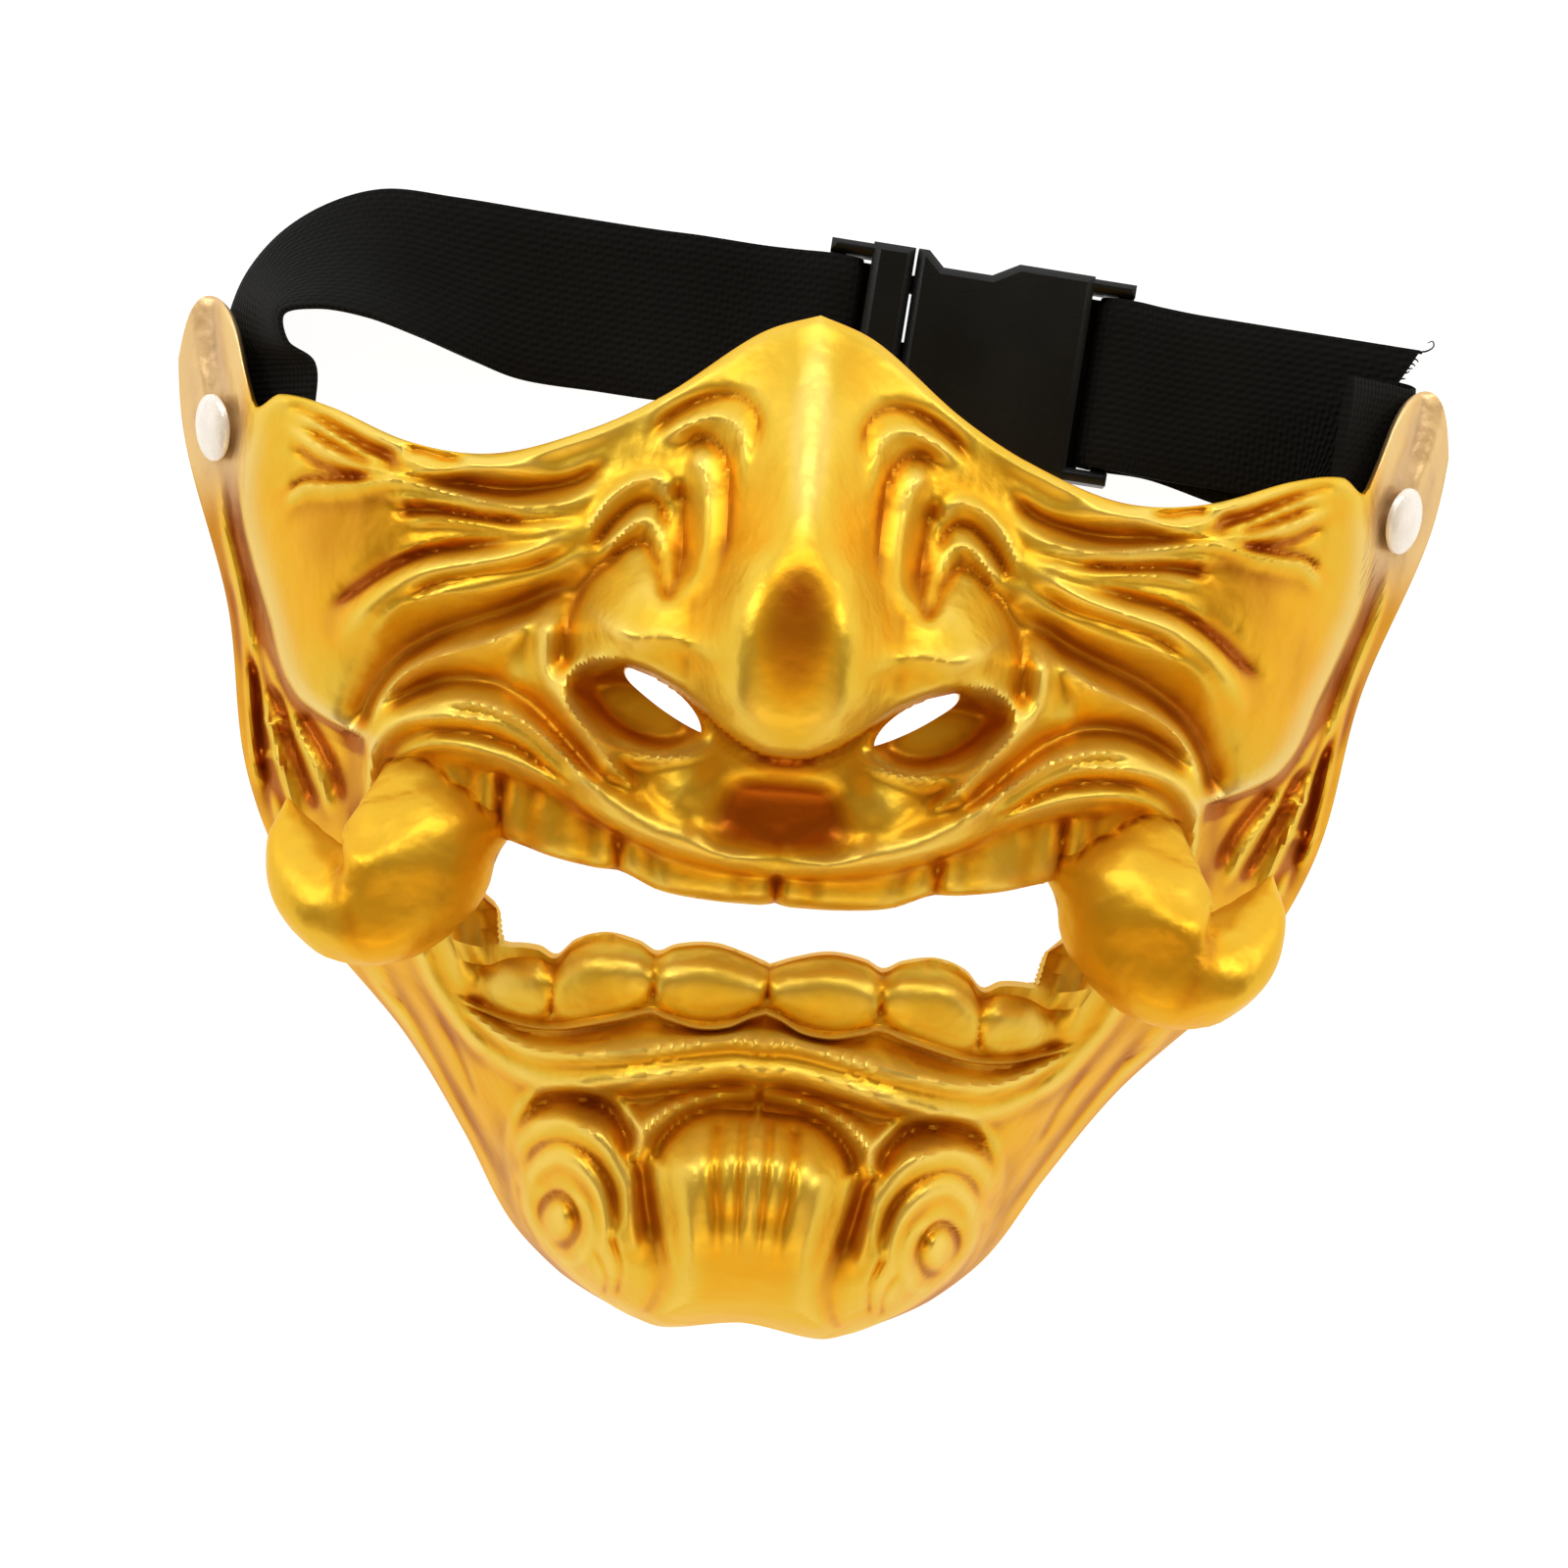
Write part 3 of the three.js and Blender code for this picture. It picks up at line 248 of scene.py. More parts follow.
# Folds of the snarling lip, from the side of the nose down to the lip's lower edge
LIP_FOLDS = [
    Fold([(33.6, 24), (33.4, 18), (32.8, 13), (30.6, 8.6), (27.6, 5), (24.4, 1.6), (21.4, -1.4)], 3.9,
         2.0, 2.9, 1.8),
    Fold([(31.6, 10.6), (28.6, 6.8), (25.2, 3), (22, -0.3), (19.6, -2.4)], 1.7, 0.8, 0.9, 1.4),
    Fold([(57, 5), (51, 9), (46, 10.6), (40.6, 10.4), (35.6, 8.4), (31.4, 5), (27.4, 1.2), (24.2, -2)],
         -3.2, 1.9, 1.7),
    Fold([(59.5, -11), (58.6, -4), (57, 1.4), (53, 4.6), (48, 5.6), (43, 6), (38, 5.5), (33, 3.2),
          (29, 0), (26, -2.4), (22, -4.8), (18, -6.9), (14, -8.3), (9, -9.2), (0, -9.5)], 3.9, 1.8, 2.6,
         1.8, 0.1),
    Fold([(50, 7.2), (45, 7.9), (40, 7.3), (35, 5.4), (30.6, 2.2), (26.6, -1.2), (23, -3.8)], 1.2, 0.7,
         0.7),
    Fold([(47, 6.4), (41.6, 6.3), (36.4, 4.8), (31.6, 1.6), (27.6, -1.8)], -1.4, 0.7),
    Fold([(52, 3.4), (46, 3.8), (41, 3.6), (36, 2), (31.6, -0.8), (28, -3.2)], -1.1, 0.7),
    Fold([(55, -1.6), (51, 0.9), (46, 1.7), (41, 1.2), (36, -0.2), (31, -2), (26.6, -4.4), (22, -6.7),
          (18, -8.3), (13, -9.9), (7, -10.8), (0, -11)], 1.8, 1.1, 1.1, 2.0, 0.1),
]

# Folds up the side of the nose, and round its wing
NOSE_FOLDS = [
    Fold([(22, 45), (19.5, 48), (15.7, 50.4), (12, 51.4), (8.8, 50.6), (7.2, 47.6), (7, 43)], -1.7, 1.0,
         0.9, 1.5),
    Fold([(20.4, 44.6), (17, 47), (13.2, 48.3), (10.2, 47.4), (8.9, 44.6), (8.6, 39)], 1.2, 0.9, 0.9),
    Fold([(18.4, 43.6), (15, 45.3), (12.4, 44.6), (10.8, 41.8), (10, 37), (10, 31), (11, 25)], -1.9, 1.1,
         0.9, 1.5),
    Fold([(16.4, 42.6), (14.4, 41.6), (13.2, 38), (12.8, 32.6), (13.4, 27), (14.8, 22.6)], 2.0, 1.7, 1.5,
         1.6),
    Fold([(17.6, 40), (16.4, 36), (16, 30.4), (16.4, 25.6), (17.6, 22.6)], -1.9, 1.1, 1.0, 1.5),
    Fold([(29.6, 30), (27.2, 35.4), (23.6, 38.8), (20, 39.4), (18, 36.6)], 1.3, 1.0, 1.0, 1.6),
    Fold([(28.8, 28.6), (26, 33.2), (22.6, 36.3), (19.6, 36.1), (18, 32.4)], -1.5, 0.8, 0.8, 1.5),
    Fold([(27.6, 27.2), (24.8, 31.4), (21.8, 33.8), (19.6, 32.6), (18.4, 28.8)], 1.1, 0.8, 0.9, 1.6),
    Fold([(26.6, 26.6), (23.8, 29.8), (21.2, 30.6), (19.4, 28.6), (18, 25), (16.8, 22)], -1.8, 1.0, 1.0,
         1.5),
    Fold([(9, 14.6), (13, 17.2), (17, 17.8), (21, 17.6), (25, 19), (28, 22.6)], 1.7, 2.0, 1.5, 1.6),
    Fold([(31, 11.4), (31.2, 16.6), (29.8, 22.4), (27.4, 26.8), (24, 30)], -2.0, 1.5, 1.5),
]

# Folds that run down the jaw
JAW_FOLDS = [
    Fold([(50, -25), (47.6, -31), (43.4, -36.7), (38.5, -41)], 2.2, 1.4),
    Fold([(56, -30), (51, -38), (46, -46), (41, -54), (36, -62)], -1.0, 0.9, 1.6),
    Fold([(60, -27), (55, -36), (50, -44), (45, -52), (40, -60)], 1.2, 2.0),
    Fold([(47, -36), (43, -43), (40.5, -49)], -0.7, 0.7),
    Fold([(56.5, -33), (54, -35.5), (52.8, -36)], -0.9, 0.8),
]

# Rim and flutes of the chin's boss, and the turns of its whorl
CHIN_FOLDS = [
    Fold([(16.4, -53), (15.6, -49.4), (13, -46), (9.4, -43.9), (4.8, -42.6), (0, -42.2)], 1.7, 0.9, 1.0,
         ends=0.05),
    Fold([(13.4, -52.6), (12.6, -49.6), (10.6, -47), (7, -45.4), (3, -44.8), (0, -44.7)], -1.3, 1.0, 0.9,
         ends=0.05),
    Fold([(13.2, -51), (12.8, -56), (11.2, -62), (9.6, -68)], 0.7, 0.9, 0.9),
    Fold([(15, -53), (14.3, -58), (12.8, -64)], -0.9, 1.2, 1.2),
    Fold([(16.6, -54), (16.2, -60), (15.2, -66)], 0.6, 0.9, 0.8),
    Fold([(14.6, -52.4), (15.6, -49), (17.6, -46.4), (20.6, -44.5), (25, -43.4), (30, -44.6),
          (33.6, -48.5), (35.2, -54), (35.2, -60)], 1.0, 0.8, 0.9),
    Fold([(17.2, -54.5), (17.8, -50.4), (20, -47.4), (24, -46), (28.4, -46.6), (32, -49.4), (34, -54)],
         -4.2, 1.5, 1.5, 1.6, 0.3),
    Fold([(16.6, -66), (16.4, -60), (17.6, -54.8), (20.6, -50.6), (25.6, -48.6), (30, -49.4), (33, -52.8),
          (34, -58)], 2.6, 1.9, 1.5),
    Fold([(18.2, -66), (18.4, -60.4), (20, -55.8), (23.4, -52.6), (27.6, -51.8), (31, -54.2),
          (32.4, -59)], -1.0, 0.6, 0.8),
    Fold([(20, -67.6), (19.6, -62.4), (21, -57.8), (24, -54.9), (27.8, -54.4), (30.6, -57),
          (31.4, -61.4)], 1.7, 1.6, 1.0, 1.6),
    Fold([(26.8, -70.6), (23.4, -69), (21.8, -65), (22.2, -61), (24.6, -58)], 0.9, 0.7, 0.8),
    Fold([(19, -63), (17.4, -68), (17.8, -74)], -1.2, 0.6, 0.6),
    Fold([(21, -66), (19.4, -70), (19.8, -74.6)], -0.9, 0.5, 0.5),
    Fold([(33.4, -59), (32.6, -65), (30, -70.6)], -1.0, 0.8, 0.7),
]


def sum_of(folds, across, y):
    return sum(fold(across, y) for fold in folds)


# Rows of the nose: y, height over the face, half width of its flat front, and of its fall beyond that
NOSE_ROWS = [
    (3, 19.4, 5, 9), (8, 22.4, 6, 8.5), (13, 24.2, 6.6, 8), (20, 25.4, 6.8, 7.6), (27, 25, 5, 7.4),
    (32, 23.4, 2.4, 8), (38, 20.4, 0.9, 8.6), (50, 14.5, 0.6, 10.5), (60, 9.4, 0.6, 12), (66, 7.4, 0.8, 13),
]

# Lower edge of the nose and its wing, which overhangs the nostril: across, y
NOSE_EDGE = [
    (0, 4), (2.5, 4.2), (5.8, 5.5), (9.4, 7.8), (11.2, 9.2), (15, 11.9), (20.6, 14.3), (25, 14.2),
    (29, 12), (34, 6),
]

# Nose wing: middle, half width, reach below and above the middle, and height
WING_AT = (18.4, 18)
WING_HALF = 9.2
WING_BELOW = 14
WING_ABOVE = 10.5
WING_HEIGHT = 13


def nose(across, y):
    """The nose and its two wings, cut off along the lower edge."""
    height, flat, fall = (read_off(NOSE_ROWS, y, k) for k in (1, 2, 3))
    roundness = 9 - 6 * smooth_rise(30, 40, y)
    beyond = np.maximum(np.sqrt((across - flat) ** 2 + roundness) + across - flat - 0.9, 0) / 2
    bridge = height * np.exp(-(beyond / fall) ** 1.5)
    sideways = (across - WING_AT[0]) / WING_HALF
    upward = (y - WING_AT[1]) / np.where(y < WING_AT[1], WING_BELOW, WING_ABOVE)
    wing = WING_HEIGHT * np.exp(-(sideways ** 2 + upward ** 2) ** 1.6)
    body = (bridge ** 4 + wing ** 4) ** 0.25
    over_edge = y - read_off(NOSE_EDGE, across)
    round_edge = 1 - 0.2 * edge_drop(over_edge / 5.5)
    soften = 2.2 * smooth_rise(23, 30, across)
    return body * round_edge * smooth_rise(-0.8 - soften, 0.1 + soften, over_edge)


# Outer edge of the cheek plate and of the lip hood below it: y, across
PLATE_EDGE = [
    (-18, 61), (-14, 59.5), (-4, 58.2), (1.5, 59), (3.1, 62.9), (5, 67.2), (7, 70.3), (10.8, 73.2),
    (17.6, 75.8), (21.8, 77.6), (26.8, 79.6), (33.2, 81.6), (40, 82), (45, 81), (50, 80.3),
]


def cheek_plate(across, y):
    beyond = across - read_off(PLATE_EDGE, y)
    below_plate = smooth_rise(-22, -14, y)
    spread = 1 + 1.8 * smooth_rise(34, 46, y)
    raised = 1.6 * (1 - smooth_rise(-1, 0.8, beyond / spread)) * smooth_rise(30, 45, across)
    sunk = -2.4 * smooth_rise(-0.8, 1, beyond / spread)
    return (raised + sunk) * below_plate


# Strands that run down the side panel from the ear to the jaw, with the hollows between them
SIDE_FOLDS = [
    Fold([(86, 40), (84.4, 30), (82, 20), (80, 10), (78.6, 1), (77.6, -8)], 1.5, 0.9, 0.9),
    Fold([(83.6, 30), (80.6, 19), (77.6, 10), (75, 2), (72, -6), (69, -13)], 1.6, 0.9, 0.8),
    Fold([(78.4, 16), (74, 8), (70.4, 2), (66.6, -4), (64, -10)], 1.4, 0.9, 0.8),
    Fold([(79.8, 14), (78, 8), (77.6, 3), (76.4, -4), (74.6, -11)], -2.6, 1.3, 1.2, 1.6),
    Fold([(75.4, 9.4), (73, 5), (71.8, 1), (69, -5), (66.6, -9.6)], -2.4, 1.2, 1.1, 1.6),
    Fold([(70.6, 5.4), (67.6, 2), (64.6, -2), (62, -8)], -2.0, 1.3, 1.2, 1.6),
    Fold([(83.6, 24), (81.8, 14), (80.6, 4), (79.4, -4)], -1.5, 0.8, 0.8),
    Fold([(79, -3), (75.4, -7), (71, -14), (66, -22)], 1.3, 1.1, 1.0),
    Fold([(76.6, 4.4), (74.8, 2.6), (73.6, 3.6), (71.4, 1.6)], 1.2, 0.7, 0.7),
    Fold([(79.6, -0.6), (77.4, -2), (74.6, -1.6), (71.6, -4.6)], 1.0, 0.6, 0.6),
]

# How much stronger these strands stand out than their listed heights
SIDE_RELIEF = 1.2

# Gaps between the teeth, as distances across
UPPER_GAPS = (0, 21.7, 38.6)
LOWER_GAPS = (0, 15.5, 29.5, 42)


def gap_distance(gaps, across):
    return np.min([np.abs(across - gap) for gap in gaps], axis=0)


def upper_teeth(across, y):
    below = read_off(LIP_UNDER, across) - y
    lip_face = 1.6 * smooth_rise(-3.4, 0, below)
    inside = smooth_rise(-0.5, 0.9, below)
    gap = gap_distance(UPPER_GAPS, across)
    crown = 1.7 * (1 - bell(gap, 0.8, 1.5)) + 2.0 * cushion(gap / 8)
    crown = crown - 0.9 * bell(gap - 4.4, 1.7)
    to_bite = y - read_off(UPPER_BITE, across)
    rounded = 2.2 * edge_drop(to_bite / 2.4)
    present = smooth_rise(-26, -19, y) * (1 - smooth_rise(50, 58, across))
    return present * (inside * (crown - 5.6 - rounded) - lip_face * (1 - inside))


# Crest of the lower lip: across, y
LOWER_LIP_CREST = [
    (0, -35), (4, -34.9), (10, -36), (15, -37.1), (20, -38.2), (26, -39.2), (32, -39.4), (38, -37.4),
    (44, -34),
]


def lower_teeth(across, y):
    gap = gap_distance(LOWER_GAPS, across)
    edge = read_off(LOWER_BITE, across)
    gum = read_off(GUM_CREST, across)
    fade = 1 - smooth_rise(37, 43, across)
    neck = gum + 0.4 + 2.2 * bell(gap, 2.0, 1.5)
    crown = (2.5 * smooth_rise(-0.35, 1, (y - gum) / (edge - gum - 1))
             + 0.3 * smooth_rise(neck - 0.8, neck + 1, y))
    low_half = 1 - smooth_rise(0.35, 0.95, (y - gum) / (edge - gum))
    face = 0.8 * cushion(gap / 6.5) * (0.35 + 0.65 * low_half)
    groove = -1.2 * bell(gap, 0.5, 1.3) * smooth_rise(neck - 1.4, neck, y) * (0.2 + 0.8 * low_half)
    to_bite = edge - y
    rounded = 4.4 * (1 - np.clip(to_bite / 5.6, 0, 1)) ** 2.4
    on_teeth = smooth_rise(gum - 0.2, gum + 0.8, y)
    height = (on_teeth * ((crown + face + groove) * fade - 3.7 - rounded)
              + 0.5 * fade * bell(y - gum + 0.2, 0.5, 1.5))
    present = (1 - smooth_rise(-21, -15, y)) * (y > -40) * (1 - smooth_rise(39, 44, across))
    return present * height


def lower_lip(across, y):
    ridge = read_off(LOWER_LIP_CREST, across)
    gum = read_off(GUM_CREST, across)
    fade = 1 - smooth_rise(36, 46, across)
    slope = -3.0 * smooth_rise(ridge, gum - 0.3, y) * (y < gum + 4) * fade
    roll = 2.7 * bell(y - ridge, 1.3, 1.7) + 2.3 * bell(y - ridge + 3.6, 1.5, 1.8)
    under = -3.4 * smooth_rise(4.2, 6.6, ridge - y) * (1 - smooth_rise(7, 11, ridge - y)) * (
        1 - smooth_rise(26, 38, across))
    return roll * fade + slope * (y < gum) + under


# Boss of the chin down its middle: y, height over the face, half width
BOSS_ROWS = [
    (-79, 1.8, 17), (-76, 3.6, 15), (-70, 6, 11), (-64, 7.8, 10.2), (-59, 8.6, 11), (-55, 8, 12.2),
    (-51, 6, 13), (-48.4, 2.6, 13), (-46, -1.4, 13), (-43.6, -1.8, 13), (-42, 0, 13),
]

# Flutes of the boss: their place as a share of its half width, depth and width
BOSS_FLUTES = [(0.0, 0.5, 0.1), (0.14, -0.9, 0.05), (0.4, -1.3, 0.08), (0.6, 0.4, 0.14)]


def chin_boss(across, y):
    row = y + 0.022 * across ** 2
    half_width = read_off(BOSS_ROWS, row, 2)
    place = across / half_width
    side = 1 - smooth_rise(0.68, 1.22, place)
    length = smooth_rise(-44.6, -47, row) * (1 - smooth_rise(-54, -67, y))
    flutes = sum(height * bell(place - at, width) for at, height, width in BOSS_FLUTES)
    knob = -0.9 * bell(y + 58.5, 2) * bell(across - 2.6, 2.4)
    cheek = 5.2 * bell(across - 15.5, 8) * smooth_rise(-57, -69, y)
    return side * (read_off(BOSS_ROWS, row) + flutes * length + knob) + cheek


# Whorl of the chin: place, half sizes and open side of its eye
WHORL_EYE = (26.8, -63.6)
EYE_HALF = (3.5, 4.6)
EYE_OPENS = math.radians(125)

# Mound round that eye: its height, and its reach inwards and outwards, and up and down
MOUND_HEIGHT = 4.6
MOUND_INWARD, MOUND_OUTWARD = 12, 9
MOUND_UP, MOUND_DOWN = 16.5, 14


def chin_whorl(across, y):
    aside, above = across - WHORL_EYE[0], y - WHORL_EYE[1]
    sideways = aside / np.where(across < WHORL_EYE[0], MOUND_INWARD, MOUND_OUTWARD)
    upward = above / np.where(y > WHORL_EYE[1], MOUND_UP, MOUND_DOWN)
    mound = MOUND_HEIGHT * (1 - smooth_rise(0.55, 1.15, np.hypot(sideways, upward)))
    aside, up = aside / EYE_HALF[0], above / EYE_HALF[1]
    ring = np.hypot(aside, up)
    open_side = 0.5 + 0.5 * np.cos(np.arctan2(up, aside) - EYE_OPENS)
    crescent = bell(ring - 0.85, np.where(ring > 0.85, 0.16, 0.34), 1.7)
    return mound - 3.0 * crescent * open_side ** 0.6 + 1.4 * bell(ring, 0.62, 3)


# Rim of the nose wing round the nostril
WING_RIM = Fold([(22, 14.6), (26.4, 14.8), (29.6, 13), (30.2, 9.8), (27.4, 6), (23.4, 3.2), (18.6, 2),
                 (13.4, 3), (9.4, 5)], 1.5, 1.0, 1.2, 1.8, 0.12)

# Sunken ground of the nostril: middle, half sizes, tilt and depth
PIT_AT = (20, 8.4)
PIT_HALF = (10.4, 5)
PIT_TILT = math.radians(22)
PIT_DEPTH = 4.2


def nostril_pit(across, y):
    """Sunken ground round the nostril, under the lower edge of the nose."""
    aside, above = across - PIT_AT[0], y - PIT_AT[1]
    along = aside * math.cos(PIT_TILT) + above * math.sin(PIT_TILT)
    up = above * math.cos(PIT_TILT) - aside * math.sin(PIT_TILT)
    ring = np.hypot(along / PIT_HALF[0], up / PIT_HALF[1])
    return -PIT_DEPTH * (1 - smooth_rise(0.55, 1.05, ring)) + WING_RIM(across, y)


def philtrum(across, y):
    hollow = -2.6 * bell(across / (9 - 0.35 * (y + 4.8)), 1, 6) * bell((y + 4.8) / 4.9, 1, 6)
    column = 1.2 * bell(across, 5.2, 3) * bell(y - 2.6, 2.4)
    side = 2.2 * bell(across - 13, 3.8) * bell(y + 2.4, 4.6)
    return hollow + column + side


def brow_rim(across, y):
    inside = read_off(BROW_LINE, across) - y
    return 0.9 * bell(inside - 1.4, 1.1) * smooth_rise(22, 34, across) * (1 - smooth_rise(72, 78, across))


# Inner edge of the ear tab: y, across
TAB_EDGE = [(38, 82), (50, 84), (58, 86.5), (66, 88)]


def ear_tab(across, y):
    outward = across - read_off(TAB_EDGE, y)
    tab = smooth_rise(40, 46, y)
    return tab * (-0.8 * bell(outward - 1.2, 1.3) + 0.9 * bell(outward - 5.2, 1.0))


def face_height(across, y):
    """The outer surface of the face, as a height over the floor."""
    forms = sum(form(across, y) for form in (
        nose, plate_swell, cheek_plate, upper_teeth, lower_teeth, lower_lip, chin_boss, chin_whorl,
        nostril_pit, philtrum, brow_rim, ear_tab))
    folds = sum(sum_of(group, across, y) for group in (CHEEK_FOLDS, LIP_FOLDS, NOSE_FOLDS, CHIN_FOLDS))
    from_rim = read_off(FACE_ROWS, y, 2) - across
    near_rim = smooth_rise(0, 7, from_rim)
    strands = SIDE_RELIEF * sum_of(SIDE_FOLDS, across, y) + sum_of(JAW_FOLDS, across, y)
    strands = strands * smooth_rise(0, 3.2, from_rim)
    brow_edge = (read_off(BROW_LINE, across) - y) / 1.6
    rounded = 1.5 * edge_drop(brow_edge) * (1 - smooth_rise(86, 92, across))
    return np.maximum(arch(across, y, 0), 0) + RIM_HEIGHT + (forms + folds) * near_rim + strands - rounded


def hollow_height(across, y):
    """The hollow behind the face: it follows the nose, and the finer relief only where the wall is thin."""
    mouth = smooth_rise(-44, -34, y) * (1 - smooth_rise(0, 8, y)) * (1 - smooth_rise(48, 60, across))
    inner_nose = NOSE_HOLLOW * nose(across * NOSE_INNER_PINCH, y - WALL)
    plain = arch(across, y, WALL) + inner_nose - MOUTH_WALL * mouth
    return np.minimum(plain, face_height(across, y) - THIN_WALL)


# Corner of the mouth opening, from the upper teeth round to the lower ones: across, y
MOUTH_CORNER = [(44, -12.6), (46, -15.5), (45.2, -18.6), (43.2, -21.2), (40.6, -24.2), (38, -27)]
MOUTH_REACH = (20, 90)

# Below MOUTH_TOP the opening leans inwards, by a share of the depth, at its lower teeth, which are those
# under MOUTH_MIDDLE (in metres), and at its corners
MOUTH_LEAN = 0.1
CORNER_LEAN = 0.15
MOUTH_TOP = 60
MOUTH_MIDDLE = -0.020

# Nostril slot under the lower edge of the nose: across, y
NOSTRIL = [
    (9.4, 6.4), (10.6, 8.8), (13.6, 11.2), (17.4, 13.2), (21, 14.2), (22.6, 13.8), (22.2, 12.4),
    (20, 10.6), (17, 8.6), (13.6, 6.8), (11, 5.9),
]
NOSTRIL_REACH = (30, 66)

# Painted dark reflection on the tip of the nose and painted shadow in the philtrum, and a painted highlight
# along the bridge of the nose:
# y, half width, half length, strength
SHADE_AND_HIGHLIGHT_SPOTS = [(20, 5, 9.5, 0.9), (-4.4, 9, 5, 0.95), (2.4, 5.4, 1.4, 0.7), (47, 2.4, 13, -0.9)]

# Share of painted pale reflection on the ear tabs and on the rim of the cheek plate
PALE_TABS = 0.65
PALE_RIM = 0.4

# Painted shade: deeper, darker orange on the cheek plate, on the strands of the side, on the jaw and on the
# front of the tusk
PLATE_SHADE = 0.45
SIDE_SHADE = 0.6
JAW_SHADE = 0.35
TUSK_FRONT_SHADE = 0.2

# Tusk: points of its middle line with the radius there
TUSK = [
    (47.4, -0.6, 31, 9.8), (47, -7.6, 41, 10.2), (49.6, -15, 48.2, 10.8), (56, -20.6, 48.5, 9.6),
    (62.4, -19.6, 45.5, 7.4), (66.8, -14.4, 42, 4.8), (69, -7.4, 39, 1.2),
]

# Direction round the tusk of the notch between its root and its tip, its facets, and its mesh
TUSK_NOTCH = math.radians(-135)
TUSK_FACETS = 6
TUSK_MESH = (60, 72)

# Crest of the tusk over its front, which gets painted shade, and the painted dark line along its valley, from
# the notch down: across, y
TUSK_CREST = [(38, -8), (41, -10), (45, -13), (50, -13.8), (55, -14), (60.5, -13.3), (70, -13)]
TUSK_VALLEY_SHADE = Fold([(61, -12.6), (60, -18), (57.6, -23.6), (55.4, -29)], 0.35, 0.6, 1.4, 1.6, 0.3)

# Rivet: place, radius of its head, of its bore and of the seat round it, and how deep the seat is sunk
RIVET_AT = (87.5, 45.3)
RIVET_HEAD = 4.9
RIVET_BORE = 2.2
RIVET_SEAT = RIVET_HEAD + 0.5
RIVET_SEAT_DEPTH = 1.0
BORE_SIDES = 48


def in_place(x, y, z):
    """Model millimetres to the frame's metres, as rows of points."""
    return np.stack(np.broadcast_arrays(x, np.asarray(y) + FACE_SHIFT, z), axis=-1) * MM


def move_points(bm, place):
    """Moves every point of a bmesh through a function of its coordinates."""
    bm.verts.ensure_lookup_table()
    start = np.array([v.co[:] for v in bm.verts])
    for vert, spot in zip(bm.verts, place(start)):
        vert.co = spot


def to_object(bm, name):
    mesh = bpy.data.meshes.new(name)
    bm.to_mesh(mesh)
    bm.free()
    piece = bpy.data.objects.new(name, mesh)
    bpy.context.scene.collection.objects.link(piece)
    return piece


def points_of(made):
    """The points among the things that an operator made."""
    return [part for part in made["geom"] if isinstance(part, bmesh.types.BMVert)]


def smooth_shading(piece, sharp_degrees):
    piece.data.shade_smooth()
    piece.data.set_sharp_from_angle(angle=math.radians(sharp_degrees))
    return piece


def face_outward(bm):
    bm.normal_update()
    bmesh.ops.recalc_face_normals(bm, faces=bm.faces)
    if bm.calc_volume(signed=True) < 0:
        bmesh.ops.reverse_faces(bm, faces=bm.faces)


def close_down(bm, floor):
    """Turns an open sheet into a block that reaches down to a flat floor, in metres."""
    rim = [edge for edge in bm.edges if edge.is_boundary]
    skirt = bmesh.ops.extrude_edge_only(bm, edges=rim)
    for point in points_of(skirt):
        point.co.z = floor
    lower = [part for part in skirt["geom"] if isinstance(part, bmesh.types.BMEdge) and part.is_boundary]
    bmesh.ops.edgeloop_fill(bm, edges=lower)
    face_outward(bm)


def row_height(number, across):
    """Place in y of a mesh row, between the two edges that it lies between."""
    edges = np.array([read_off(edge, across) for edge, _ in STRIPS])
    stops = np.cumsum([count for _, count in STRIPS])
    y = np.zeros_like(across)
    for k in range(1, len(STRIPS)):
        share = np.clip((number - stops[k - 1]) / (stops[k] - stops[k - 1]), 0, 1)
        if k == 1:
            share = share ** ROW_CROWDING
        if k == len(STRIPS) - 1:
            share = 1 - (1 - share) ** ROW_CROWDING
        inside = (number >= stops[k - 1]) & (number <= stops[k])
        y = np.where(inside, edges[k - 1] + (edges[k] - edges[k - 1]) * share, y)
    return y


def chin_shift(across, y):
    return CHIN_DIP * bell(across, 9) * (1 - smooth_rise(CHIN_BOTTOM, CHIN_BOTTOM + 10, y))


def skin_block():
    rows = sum(count for _, count in STRIPS)
    bm = bmesh.new()
    bmesh.ops.create_grid(bm, x_segments=COLUMNS, y_segments=rows, size=1)

    def place(grid):
        share = np.abs(grid[:, 0])
        share = share * (0.9 + 0.35 * share ** 2 - 0.25 * share ** 4)
        number = (grid[:, 1] + 1) / 2 * rows
        y = np.zeros_like(share)
        for _ in range(SETTLING_ROUNDS):
            y = 0.4 * y + 0.6 * row_height(number, share * read_off(FACE_ROWS, y, 2))
        across = share * read_off(FACE_ROWS, y, 2)
        x = np.sign(grid[:, 0]) * across
        return in_place(x, y + chin_shift(across, y), face_height(across, y))

    move_points(bm, place)
    close_down(bm, 0)
    return to_object(bm, "mask_casting")


# The hollow's block: its mesh, its reach beyond the brow in millimetres, and its floor in metres
HOLLOW_GRID = (72, 60)
HOLLOW_OVERRUN = 8
HOLLOW_FLOOR = -0.005


def hollow_block():
    low = CHIN_BOTTOM + WALL
    bm = bmesh.new()
    bmesh.ops.create_grid(bm, x_segments=HOLLOW_GRID[0], y_segments=HOLLOW_GRID[1], size=1)

    def place(grid):
        y = low + (grid[:, 1] + 1) / 2 * (FACE_TOP + HOLLOW_OVERRUN - low)
        row = np.minimum(y, FACE_TOP)
        x = grid[:, 0] * (read_off(FACE_ROWS, row, 2) - WALL * 0.95)
        top = np.maximum(hollow_height(np.abs(x), row), 0) - HOLLOW_DROP
        return in_place(x, y, top)

    move_points(bm, place)
    close_down(bm, HOLLOW_FLOOR)
    return to_object(bm, "hollow")


